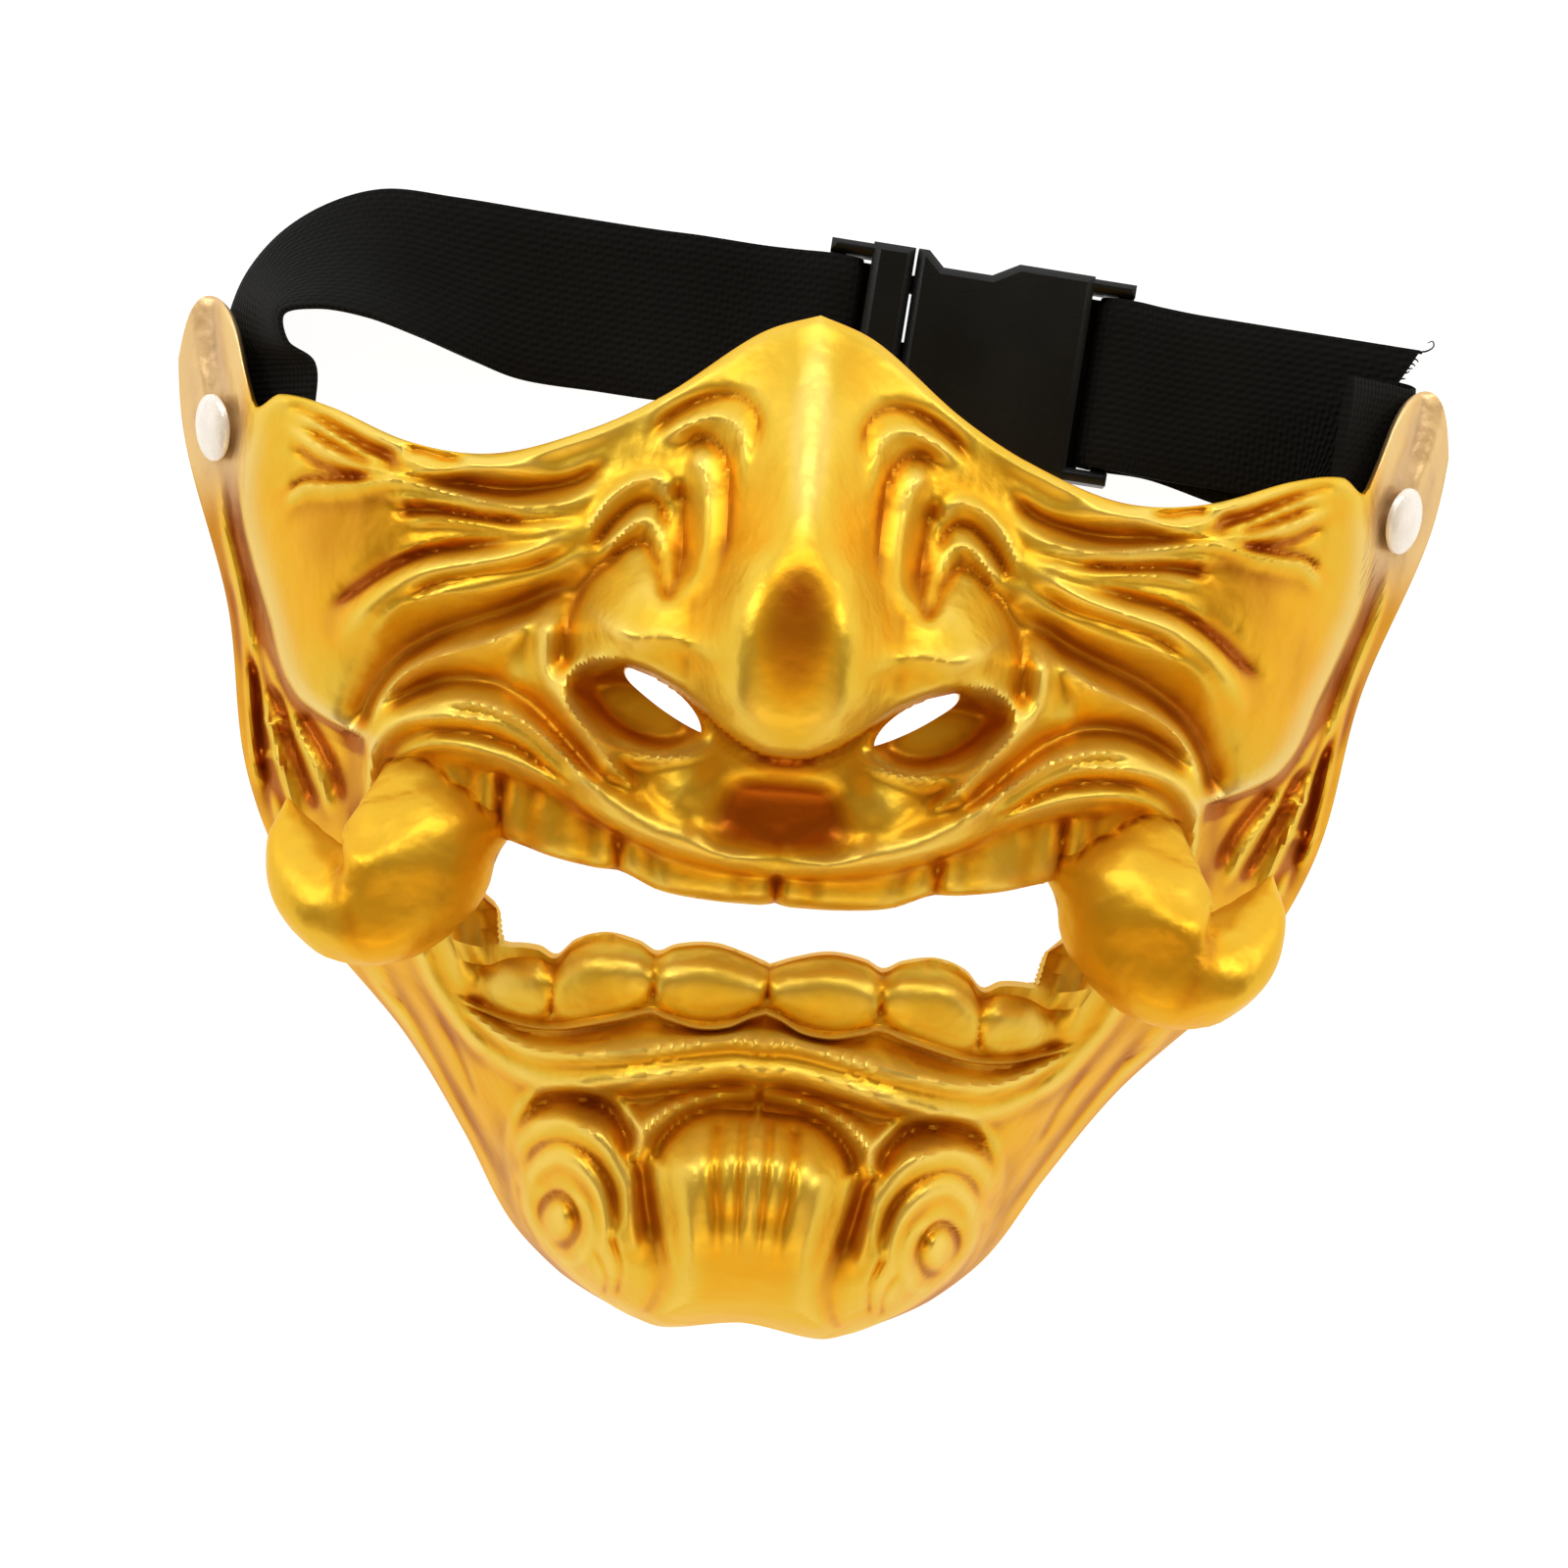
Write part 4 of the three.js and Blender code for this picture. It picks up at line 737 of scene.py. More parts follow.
def along_edge(edge, start, end, count):
    """Points along one of the edges across the face."""
    across = np.linspace(start, end, count)
    return list(zip(across, read_off(edge, across)))


def mouth_cutter():
    corner = [tuple(p) for p in smooth_line(MOUTH_CORNER, 4)]
    right = along_edge(UPPER_BITE, 0, 40, 40) + corner + along_edge(LOWER_BITE, 36, 0, 60)
    outline = right + [(-x, y) for x, y in right[-2:0:-1]]
    bm = bmesh.new()
    bmesh.ops.create_circle(bm, cap_ends=True, segments=len(outline), radius=1)
    move_points(bm, lambda _: in_place(*np.array(outline).T, MOUTH_REACH[0]))
    for point in points_of(bmesh.ops.extrude_face_region(bm, geom=list(bm.faces))):
        point.co.z = MOUTH_REACH[1] * MM

    def lean(co):
        depth = MOUTH_TOP * MM - co[:, 2]
        inward = -np.sign(co[:, 0]) * CORNER_LEAN * smooth_rise(36, 42, np.abs(co[:, 0]) / MM) * depth
        return co + np.stack([inward, (co[:, 1] < MOUTH_MIDDLE) * MOUTH_LEAN * depth, 0 * depth], axis=-1)

    move_points(bm, lean)
    face_outward(bm)
    return to_object(bm, "mouth_cutter")


def nostril_cutter(side):
    """A straight cutter with the outline of the nostril slot."""
    outline = smooth_line(NOSTRIL + NOSTRIL[:1], 4)[:-1]
    count = len(outline)
    bm = bmesh.new()
    bmesh.ops.create_cone(bm, cap_ends=True, segments=count, radius1=1, radius2=1, depth=2)

    def place(co):
        turn = np.round(np.arctan2(co[:, 1], co[:, 0]) / math.tau * count).astype(int) % count
        across, y = outline[turn].T
        return in_place(side * across, y, np.where(co[:, 2] > 0, NOSTRIL_REACH[1], NOSTRIL_REACH[0]))

    move_points(bm, place)
    face_outward(bm)
    return to_object(bm, "cutter")


def lengths(rows):
    return np.linalg.norm(rows, axis=1)[:, None]


def spline_at(points, share):
    """Point on a smooth line through a few points, at a share of its spans from 0 to 1."""
    p = np.asarray(points, float)
    p = np.vstack([2 * p[0] - p[1], p, 2 * p[-1] - p[-2]])
    spans = len(p) - 3
    place = np.clip(np.atleast_1d(share) * spans, 0, spans - 1e-9)
    i = place.astype(int)
    t = (place - i)[:, None]
    a, b, c, d = p[i], p[i + 1], p[i + 2], p[i + 3]
    before, here, after = (lengths(q - r) ** 0.5 for q, r in ((b, a), (c, b), (d, c)))
    leave = ((b - a) / before - (c - a) / (before + here) + (c - b) / here) * here
    arrive = ((c - b) / here - (d - b) / (here + after) + (d - c) / after) * here
    return (b + leave * t + (3 * (c - b) - 2 * leave - arrive) * t ** 2
            + (2 * (b - c) + leave + arrive) * t ** 3)


def square_to(points, share, step, lean):
    """Two directions square to a smooth line and to each other, at each share of it."""
    along = spline_at(points, share + step) - spline_at(points, share - step)
    along /= lengths(along)
    out = np.cross(along, lean)
    out /= lengths(out)
    return out, np.cross(along, out)


def tusk_horn(side):
    """A curved horn with a round root and a round tip."""
    bm = bmesh.new()
    bmesh.ops.create_uvsphere(bm, u_segments=TUSK_MESH[0], v_segments=TUSK_MESH[1], radius=1)
    middle = [p[:3] for p in TUSK]
    radii = [(i, p[3]) for i, p in enumerate(TUSK)]

    def place(co):
        share = np.clip((1 - co[:, 2]) / 2, 0, 1)
        spot = spline_at(middle, share)
        out, up = square_to(middle, share, 0.004, (0.2, 0.3, 1.0))
        ring = np.hypot(co[:, 0], co[:, 1])
        radius = read_off(radii, share * (len(TUSK) - 1)) * np.minimum(1, ring * 1.7) / np.maximum(ring, 1e-9)
        turn = np.arctan2(co[:, 1], co[:, 0])
        facet = math.tau / TUSK_FACETS
        within = np.mod(turn + 1.4 * share, facet) - facet / 2
        flats = 0.2 * (math.cos(facet / 2) / np.cos(within) - math.cos(facet / 2) ** 0.5)
        dents = (0.045 * np.cos(3 * turn + 5 * share)
                 + 0.022 * np.cos(5 * turn - 9 * share) * np.sin(17 * share))
        from_notch = np.angle(np.exp(1j * (turn - TUSK_NOTCH)))
        from_crest = np.angle(np.exp(1j * (turn - TUSK_NOTCH - (0.5 - share) * 7.1)))
        notch = 0.15 * bell(from_notch, 0.7) * bell(share - 0.58, 0.13)
        crest = 0.09 * bell(from_crest, 0.35, 1.4) * bell(share - 0.3, 0.2, 4)
        front = 0.09 * bell(from_crest - 0.75, 0.4) * bell(share - 0.3, 0.2, 4)
        round_belly = bell(from_notch - 1.1, 1.5, 4)
        valley = round_belly * (0.08 * bell(share - 0.55, 0.03, 1.6) - 0.05 * bell(share - 0.47, 0.05))
        creases = -0.055 * bell(np.sin(24 * share + 1.6 * turn), 0.35, 1.5) * bell(share - 0.3, 0.22)
        radius = radius * (1 + flats + dents - notch + crest - front - valley + creases)
        spot = spot + (co[:, 0] * radius)[:, None] * out + (co[:, 1] * radius)[:, None] * up
        return in_place(side * spot[:, 0], spot[:, 1], spot[:, 2])

    move_points(bm, place)
    face_outward(bm)
    return to_object(bm, "tusk")


def rivet_frame(side):
    """Turn and place of a rivet: its axis stands square on the ear tab."""
    across, y = RIVET_AT
    slope_x = (arch(across + 1, y, 0) - arch(across - 1, y, 0)) / 2
    slope_y = (arch(across, y + 1, 0) - arch(across, y - 1, 0)) / 2
    axis = Vector((-float(slope_x), -float(slope_y), 1)).normalized()
    seat = Vector((across, y + FACE_SHIFT, float(arch(across, y, 0)) + RIM_HEIGHT)) - axis * RIVET_SEAT_DEPTH
    axis.x *= side
    seat.x *= side
    turn = Vector((0, 0, 1)).rotation_difference(axis).to_matrix().to_4x4()
    return Matrix.Translation(seat * MM) @ turn @ Matrix.Scale(MM, 4)


def rivet_cutter(side, radius, low, high):
    bm = bmesh.new()
    bmesh.ops.create_cone(bm, cap_ends=True, segments=BORE_SIDES, radius1=radius, radius2=radius,
                          depth=high - low)
    bmesh.ops.translate(bm, verts=bm.verts, vec=(0, 0, (high + low) / 2))
    bmesh.ops.transform(bm, matrix=rivet_frame(side), verts=bm.verts)
    face_outward(bm)
    return to_object(bm, "rivet_cutter")


def cut(piece, operation, tools):
    """Joins or cuts a closed piece with other closed pieces, and removes those."""
    for tool in tools:
        step = piece.modifiers.new("step", "BOOLEAN")
        step.operation, step.object, step.solver = operation, tool, "MANIFOLD"
        done = piece.evaluated_get(bpy.context.evaluated_depsgraph_get())
        mesh = bpy.data.meshes.new_from_object(done)
        piece.modifiers.clear()
        old, piece.data = piece.data, mesh
        bpy.data.meshes.remove(old)
        bpy.data.objects.remove(tool)


def mark_painted_light(mesh):
    """Stores painted light for each point of the outer face from how deep it lies: over 0 in hollows is
    painted shade, under 0 on crests is painted highlight; also painted spots, painted shade on the plate,
    strands, jaw and tusk, and a painted pale reflection.
    """
    spots = np.empty(len(mesh.vertices) * 3, np.float32)
    mesh.vertices.foreach_get("co", spots)
    x, y, z = (spots.reshape(-1, 3) / MM).T.astype(float)
    across, y = np.abs(x), y - FACE_SHIFT
    here = face_height(across, y)

    def relief(aside, up):
        return face_height(aside, up) - np.maximum(arch(aside, up, 0), 0)

    level = relief(across, y)
    around = [relief(np.abs(across + dx), y + dy) - level
              for reach in (1.1, 2.6) for dx, dy in ((reach, 0), (-reach, 0), (0, reach), (0, -reach))]
    depth = np.mean(np.clip(around, -3, 3), axis=0)
    over = z - here
    # Painted shade on the tusk in a band just above where it meets the face
    seam = smooth_rise(0.3, 0.6, over) * (1 - smooth_rise(0.6, 2.4, over))
    # Painted highlight at the corner of the mouth: paler there, in place of the hollows' painted shade
    corner = bell(np.hypot(across - 42, (y + 24) / 1.4), 5)
    # Painted shade, and with a negative strength painted highlight, in the listed spots
    spot_shade_and_highlight = sum(strength * bell(np.hypot(across / wide, (y - at) / long), 1, 4)
                 for at, wide, long, strength in SHADE_AND_HIGHLIGHT_SPOTS)
    # Painted shade: darker, deeper orange on the cheek plate, on the side strands and on the outer jaw
    plate = PLATE_SHADE * bell(across - 64, 12, 3) * bell(y - 26, 13, 3)
    beyond_plate = across - read_off(PLATE_EDGE, y)
    jaw = smooth_rise(0.6, 0.85, across / read_off(FACE_ROWS, y, 2))
    strands = SIDE_SHADE * smooth_rise(-1, 2, beyond_plate) * smooth_rise(-16, -8, y)
    strands = strands + JAW_SHADE * jaw * (1 - smooth_rise(-18, -10, y))
    depth = np.clip(depth / 1.2, -1, 0.7) * (1 - corner) - 0.5 * corner + spot_shade_and_highlight + plate + strands
    # Painted shade on the tusk's front under its crest, and a painted dark line along its valley
    under_crest = smooth_rise(0, 3.5, read_off(TUSK_CREST, across) - y)
    front = TUSK_FRONT_SHADE * under_crest * (1 - smooth_rise(60, 62, across))
    depth = np.where(np.abs(over) < 0.4, depth, seam + (over > 1) * (front + TUSK_VALLEY_SHADE(across, y)))
    # Painted pale reflection: paler paint towards the outer ear tabs and along the rim of the cheek plate
    rim = bell(beyond_plate + 1.2, 2.2) * smooth_rise(-4, 4, y) * (1 - smooth_rise(40, 48, y))
    painted_pale_reflection = (PALE_TABS * smooth_rise(80, 84, across) * smooth_rise(30, 42, y) + PALE_RIM * rim) * (over < 0.4)
    for name, values in (("painted_shade_and_highlight", depth), ("painted_pale_reflection", painted_pale_reflection)):
        mesh.attributes.new(name, "FLOAT", "POINT").data.foreach_set("value", values.astype(np.float32))


def mask_casting():
    casting = skin_block()
    cut(casting, "DIFFERENCE", [hollow_block(), mouth_cutter()])
    for side in (1, -1):
        cut(casting, "DIFFERENCE", [nostril_cutter(side)])
        cut(casting, "DIFFERENCE", [rivet_cutter(side, RIVET_BORE, -15, 15),
                                    rivet_cutter(side, RIVET_SEAT, 0, 10)])
    cut(casting, "UNION", [tusk_horn(1), tusk_horn(-1)])
    casting.data.name = "mask_casting"
    mark_painted_light(casting.data)
    return smooth_shading(casting, 42)


# Webbing, from the ear to the buckle; it lies on the floor beyond the brow edge
WEB_WIDTH = 25.0
WEB_THICK = 1.6
WEB_GAP = 0.7
WEB_FLOOR = WEB_THICK / 2
STRAP_SLOPE = math.radians(-4.6)

# Place where the middle of the webbing meets the buckle; u runs along it, v across it
BUCKLE_START = (-1, 65.7)

# Webbing inside the left ear: y of each pair of edge points, between two heights of the hollow
LEFT_EAR = (37.5, 46, 55)
LEFT_EAR_HEIGHTS = (2.6, 22.6)

# Left webbing twisting down to the floor: outer and inner edge, as x, y, z
LEFT_TWIST = [
    ((-87, 61.8, 1.4), (-76, 57.6, 22.4)), ((-85, 68.6, 0.9), (-77, 61.6, 22)),
    ((-80.6, 75, 0.8), (-72.6, 63.2, 19.2)), ((-74, 80, 0.8), (-65.8, 63, 14)),
    ((-66, 82.9, 0.8), (-58.4, 61.2, 7.6)), ((-55, 82.6, 0.8), (-50.5, 58.6, 2.6)),
]

# Left webbing along the floor and round the buckle's bar: u and its rise from the floor
LEFT_LOOP = [
    (-42, 0), (-30, 0), (-24, 0.6), (-19, 2), (-9, 2.2), (-3, 4.6), (0, 6.4), (2.4, 6.9), (4.6, 5.8),
    (5.3, 3.5), (4.6, 1.1), (2.6, 0.1), (-4, 0), (-17, 0),
]

# The same for the right side, which ends in a tail cut aslant: u at its two corners
RIGHT_EAR = (65.3, 41.2)
RIGHT_EAR_HEIGHTS = (17, 9, 3.4)
RIGHT_FLOOR = [
    ((88.2, 65.8, 0.8), (82.6, 41.8, 0.8)), ((78, 67.6, 0.8), (71.6, 43.4, 0.8)),
    ((66, 70.6, 0.8), (60, 46.3, 0.8)),
]
RIGHT_LOOP = [
    (52, 0), (46, 0), (43.6, 0.3), (41.9, 1.6), (41.5, 3.7), (42.2, 5.7), (44, 6.8), (46.4, 6.5),
    (50, 4.2), (55, 2.2), (60, 1.9), (74, 1.9),
]
CUT_END = (88.8, 77)
CUT_RISE = 1.9
THREADS = 30


def on_buckle(u, v, z):
    along, across = math.cos(STRAP_SLOPE), math.sin(STRAP_SLOPE)
    return (BUCKLE_START[0] + u * along - v * across, BUCKLE_START[1] + u * across + v * along, z)


def across_buckle(u, rise):
    """Both edges of the webbing where it runs straight in line with the buckle."""
    return on_buckle(u, WEB_WIDTH / 2, WEB_FLOOR + rise), on_buckle(u, -WEB_WIDTH / 2, WEB_FLOOR + rise)


def behind_tab(side, y, height):
    """Middle of the webbing where it lies on the inside of an ear tab, at a height of the hollow."""
    half_width = float(read_off(FACE_ROWS, y, 2)) - WALL * 0.95
    middle = float(read_off(FACE_ROWS, y)) - WALL
    x = half_width * (1 - height / middle) ** (1 / ARCH_POWER)
    fall = float(arch(x - 0.5, y, WALL) - arch(x + 0.5, y, WALL))
    inward = Vector((fall, 0, 1)).normalized() * (-WEB_THICK / 2 - WEB_GAP)
    return side * (x + inward.x), y, height - HOLLOW_DROP + inward.z


def left_route():
    at_ear = [tuple(behind_tab(-1, y, height) for height in LEFT_EAR_HEIGHTS) for y in LEFT_EAR]
    return at_ear + LEFT_TWIST + [across_buckle(*stop) for stop in LEFT_LOOP]


def right_route():
    at_ear = [tuple(behind_tab(1, y, height) for y in RIGHT_EAR) for height in RIGHT_EAR_HEIGHTS]
    cut_end = (on_buckle(CUT_END[0], WEB_WIDTH / 2, WEB_FLOOR + CUT_RISE),
               on_buckle(CUT_END[1], -WEB_WIDTH / 2, WEB_FLOOR + CUT_RISE))
    return at_ear + RIGHT_FLOOR + [across_buckle(*stop) for stop in RIGHT_LOOP] + [cut_end]


def ribbon(bm, pairs, per_span=9, lanes=14):
    """Webbing ruled between two smooth edges, with thinner selvedges; its map is in millimetres of cloth."""
    bmesh.ops.create_grid(bm, x_segments=per_span * (len(pairs) - 1), y_segments=lanes, size=1)
    upper = points_of(bmesh.ops.extrude_face_region(bm, geom=list(bm.faces)))
    bmesh.ops.translate(bm, verts=upper, vec=(0, 0, 1))
    outer, inner = np.array([pair[0] for pair in pairs]), np.array([pair[1] for pair in pairs])
    stations = np.linspace(0, 1, 400)
    middle = (spline_at(outer, stations) + spline_at(inner, stations)) / 2
    length = np.concatenate([[0], np.cumsum(np.linalg.norm(np.diff(middle, axis=0), axis=1))])
    cloth = bm.loops.layers.uv.new("cloth")
    for face in bm.faces:
        for loop in face.loops:
            share = (loop.vert.co.x + 1) / 2
            loop[cloth].uv = (np.interp(share, stations, length), loop.vert.co.y * WEB_WIDTH / 2)

    def place(co):
        share = (co[:, 0] + 1) / 2
        start, finish = spline_at(inner, share), spline_at(outer, share)
        along = spline_at(outer + inner, share + 0.001) - spline_at(outer + inner, share - 0.001)
        face = np.cross(along, finish - start)
        face /= lengths(face)
        thick = WEB_THICK * (1 - 0.5 * np.abs(co[:, 1]) ** 14)
        spot = start + (finish - start) * ((co[:, 1:2] + 1) / 2) + face * ((co[:, 2] - 0.5) * thick)[:, None]
        return in_place(spot[:, 0], spot[:, 1], np.maximum(spot[:, 2], 0))

    move_points(bm, place)
    face_outward(bm)


def thread_end(bm, points, radius=0.16, steps=9):
    """A loose thread along a few points."""
    known = len(bm.verts)
    made = bmesh.ops.create_cone(bm, cap_ends=True, segments=6, radius1=1, radius2=1, depth=2)["verts"]
    tall = {edge for vert in made for edge in vert.link_edges
            if abs(edge.verts[0].co.z - edge.verts[1].co.z) > 1}
    bmesh.ops.subdivide_edges(bm, edges=list(tall), cuts=steps)
    made = list(bm.verts)[known:]
    co = np.array([vert.co[:] for vert in made])
    share = (co[:, 2] + 1) / 2
    out, up = square_to(points, share, 0.01, (0.31, 0.22, 0.93))
    thin = radius * (1 - 0.5 * share)
    spot = spline_at(points, share) + out * (co[:, 0] * thin)[:, None] + up * (co[:, 1] * thin)[:, None]
    for vert, there in zip(made, in_place(spot[:, 0], spot[:, 1], spot[:, 2])):
        vert.co = there


def fray(bm):
    """Short threads along the cut end, longer towards its lower corner, and one curl at the top."""
    for i in range(THREADS):
        share = (i + 0.5) / THREADS
        u = CUT_END[0] + (CUT_END[1] - CUT_END[0]) * share
        v = WEB_WIDTH / 2 * (1 - 2 * share)
        reach = 0.5 + 1.1 * share + 0.7 * math.sin(i * 2.4) * share
        lean = 0.5 * math.sin(i * 5.1)
        rise = WEB_FLOOR + CUT_RISE + 0.35 * math.sin(i * 3.7)
        thread_end(bm, [on_buckle(u - 0.6, v, rise), on_buckle(u + reach * 0.5, v + lean * 0.4, rise + 0.2),
                        on_buckle(u + reach, v + lean, rise)])
    u, v, z = CUT_END[0] - 0.4, WEB_WIDTH / 2 - 0.3, WEB_FLOOR + CUT_RISE
    thread_end(bm, [on_buckle(u, v, z), on_buckle(u + 1.4, v + 0.4, z), on_buckle(u + 2.2, v + 1.2, z + 0.3),
                    on_buckle(u + 1.9, v + 1.9, z + 0.5), on_buckle(u + 1.2, v + 1.5, z + 0.6)])


def webbing(name, pairs, side):
    bm = bmesh.new()
    ribbon(bm, pairs)
    strip = to_object(bm, name)
    cut(strip, "DIFFERENCE", [rivet_cutter(side, RIVET_BORE, -tab_depth() - 6, -tab_depth() + 1)])
    if side > 0:
        bm = bmesh.new()
        bm.from_mesh(strip.data)
        fray(bm)
        bm.normal_update()
        bm.to_mesh(strip.data)
        bm.free()
    return smooth_shading(strip, 50)


# Rivet: radius of its shank and of its washer, the gap between its seat and the cap, and its sides
RIVET_SHANK = 1.9
RIVET_WASHER = 3.2
RIVET_GAP = 0.3
RIVET_SIDES = 64


def tab_depth():
    """Depth of the inner face of the ear tab under the rivet seat."""
    frame_of = rivet_frame(1)
    for depth in np.arange(0, 12, 0.1):
        x, y, z = frame_of @ Vector((0, 0, -depth)) / MM
        if z <= arch(x, y - FACE_SHIFT, WALL) - HOLLOW_DROP:
            return float(depth)
    return 12.0


def rivet(side):
    """A turned rivet: washer, shank and a shallow domed cap with a rolled rim."""
    washer = -tab_depth() - WEB_THICK - 1.7
    dome = [(RIVET_HEAD * math.cos(a), RIVET_GAP + 0.62 + 1.08 * math.sin(a) ** 1.3)
            for a in np.radians((0, 12, 25, 40, 55, 70, 82))]
    profile = [(0, washer - 0.8), (RIVET_WASHER - 0.2, washer - 0.8), (RIVET_WASHER, washer - 0.6),
               (RIVET_WASHER, washer - 0.2), (RIVET_WASHER - 0.2, washer), (RIVET_SHANK, washer),
               (RIVET_SHANK, RIVET_GAP), (RIVET_HEAD - 0.25, RIVET_GAP), (RIVET_HEAD, RIVET_GAP + 0.2), *dome,
               (0, RIVET_GAP + 1.7)]
    bm = bmesh.new()
    line = [bm.verts.new((radius, 0, height)) for radius, height in profile]
    edges = [bm.edges.new(pair) for pair in zip(line, line[1:])]
    bmesh.ops.spin(bm, geom=line + edges, cent=(0, 0, 0), axis=(0, 0, 1), angle=math.tau,
                   steps=RIVET_SIDES, use_merge=True)
    bmesh.ops.remove_doubles(bm, verts=bm.verts, dist=1e-4)
    bmesh.ops.transform(bm, matrix=rivet_frame(side), verts=bm.verts)
    face_outward(bm)
    cap = to_object(bm, "rivet_cap_right" if side > 0 else "rivet_cap_left")
    return smooth_shading(cap, 38)


# Rounding of the buckle's edges
MOULD_ROUNDING = 0.4


def moulded(name, node):
    """A buckle part with the small rounded edges of a moulding."""
    bm = bmesh.new()
    bm.from_mesh(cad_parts[node].data)
    bmesh.ops.remove_doubles(bm, verts=bm.verts, dist=1e-6)
    bmesh.ops.dissolve_limit(bm, angle_limit=math.radians(1.5), verts=bm.verts, edges=bm.edges)
    bm.normal_update()
    sharp = [edge for edge in bm.edges if edge.is_manifold and edge.calc_face_angle() > math.radians(25)]
    bmesh.ops.bevel(bm, geom=sharp, offset=MOULD_ROUNDING * MM, offset_type="OFFSET", affect="EDGES",
                    segments=3, profile=0.5, material=-1, clamp_overlap=True)
    face_outward(bm)
    return smooth_shading(to_object(bm, name), 35)


def surface(material):
    """Inputs of the surface shader of a material."""
    return material.node_tree.nodes["Principled BSDF"].inputs


def shade(name, colour, metallic, roughness):
    material = bpy.data.materials.new(name)
    material.use_nodes = True
    surface(material)["Base Color"].default_value = (*colour, 1)
    surface(material)["Metallic"].default_value = metallic
    surface(material)["Roughness"].default_value = roughness
    return material


def dress(piece, material):
    piece.data.materials.clear()
    piece.data.materials.append(material)


def add_noise(material, scale, detail=2.0):
    """Noise on the piece's own coordinates; gives its value."""
    nodes, links = material.node_tree.nodes, material.node_tree.links
    coordinates = nodes.new("ShaderNodeTexCoord")
    noise = nodes.new("ShaderNodeTexNoise")
    noise.inputs["Scale"].default_value = scale
    noise.inputs["Detail"].default_value = detail
    links.new(coordinates.outputs["Object"], noise.inputs["Vector"])
    return noise.outputs["Fac"]


def add_bump(material, height, distance, under=None):
    """Bump from a height output, laid over another bump where one is given."""
    nodes, links = material.node_tree.nodes, material.node_tree.links
    bump = nodes.new("ShaderNodeBump")
    bump.inputs["Distance"].default_value = distance
    bump.inputs["Strength"].default_value = 1.0
    links.new(height, bump.inputs["Height"])
    if under:
        links.new(under.outputs["Normal"], bump.inputs["Normal"])
    links.new(bump.outputs["Normal"], surface(material)["Normal"])
    return bump


def vary(material, value, low, high, socket):
    """Drives a shader socket between two values."""
    nodes, links = material.node_tree.nodes, material.node_tree.links
    span = nodes.new("ShaderNodeMapRange")
    span.inputs["From Min"].default_value, span.inputs["From Max"].default_value = 0.3, 0.7
    span.inputs["To Min"].default_value, span.inputs["To Max"].default_value = low, high
    links.new(value, span.inputs["Value"])
    links.new(span.outputs["Result"], surface(material)[socket])


def tint_between(material, value, dark, light):
    """Base colour between two tints."""
    nodes, links = material.node_tree.nodes, material.node_tree.links
    tint = nodes.new("ShaderNodeValToRGB")
    for stop, place, colour in zip(tint.color_ramp.elements, (0.3, 0.7), (dark, light)):
        stop.position, stop.color = place, (*colour, 1)
    links.new(value, tint.inputs[0])
    links.new(tint.outputs[0], surface(material)["Base Color"])


def fill_ramp(ramp, *colours):
    """Sets the stops of a colour ramp, each a place and a colour; the first is at 0 and the last at 1."""
    stops = ramp.color_ramp.elements
    for place, colour in colours:
        stop = stops[0] if place == 0 else stops[-1] if place == 1 else stops.new(place)
        stop.position, stop.color = place, (*colour, 1)


def gold_paint():
    """Satin gold paint, with painted highlight, paler, on the crests and painted shade, orange-brown, in the
    hollows.
    """
    material = shade("gold_paint", (0.95, 0.55, 0.05), 0.68, 0.36)
    nodes, links = material.node_tree.nodes, material.node_tree.links
    painted_shade_and_highlight = nodes.new("ShaderNodeAttribute")
    painted_shade_and_highlight.attribute_name = "painted_shade_and_highlight"
    cloudy = nodes.new("ShaderNodeMath")
    cloudy.operation = "MULTIPLY_ADD"
    cloudy.inputs[1].default_value, cloudy.inputs[2].default_value = 0.5, 0.25
    spread = nodes.new("ShaderNodeMath")
    spread.operation = "MULTIPLY_ADD"
    spread.inputs[1].default_value = 0.5
    tint = nodes.new("ShaderNodeValToRGB")
    links.new(add_noise(material, 55, 3), cloudy.inputs[0])
    links.new(painted_shade_and_highlight.outputs["Fac"], spread.inputs[0])
    links.new(cloudy.outputs[0], spread.inputs[2])
    links.new(spread.outputs[0], tint.inputs[0])
    # Ramp from painted highlight, pale, at 0 to painted shade, dark orange-brown, at 1
    fill_ramp(tint, (0, (0.84, 0.62, 0.13)), (0.4, (0.76, 0.5, 0.04)), (0.62, (0.79, 0.41, 0.014)),
              (1, (0.4, 0.09, 0.001)))
    # Painted pale reflection, mixed over the tint by the node below
    painted_pale_reflection = nodes.new("ShaderNodeAttribute")
    painted_pale_reflection.attribute_name = "painted_pale_reflection"
    thin = nodes.new("ShaderNodeMix")
    thin.data_type = "RGBA"
    thin.inputs["B"].default_value = (0.8, 0.66, 0.42, 1)
    links.new(painted_pale_reflection.outputs["Fac"], thin.inputs["Factor"])
    links.new(tint.outputs[0], thin.inputs["A"])
    links.new(thin.outputs["Result"], surface(material)["Base Color"])
    vary(material, add_noise(material, 70), 0.34, 0.44, "Roughness")
    waves = add_bump(material, add_noise(material, 160), 0.0005)
    add_bump(material, add_noise(material, 900, 3), 0.00005, under=waves)
    surface(material)["Specular Tint"].default_value = (1.0, 0.82, 0.36, 1)
    return material


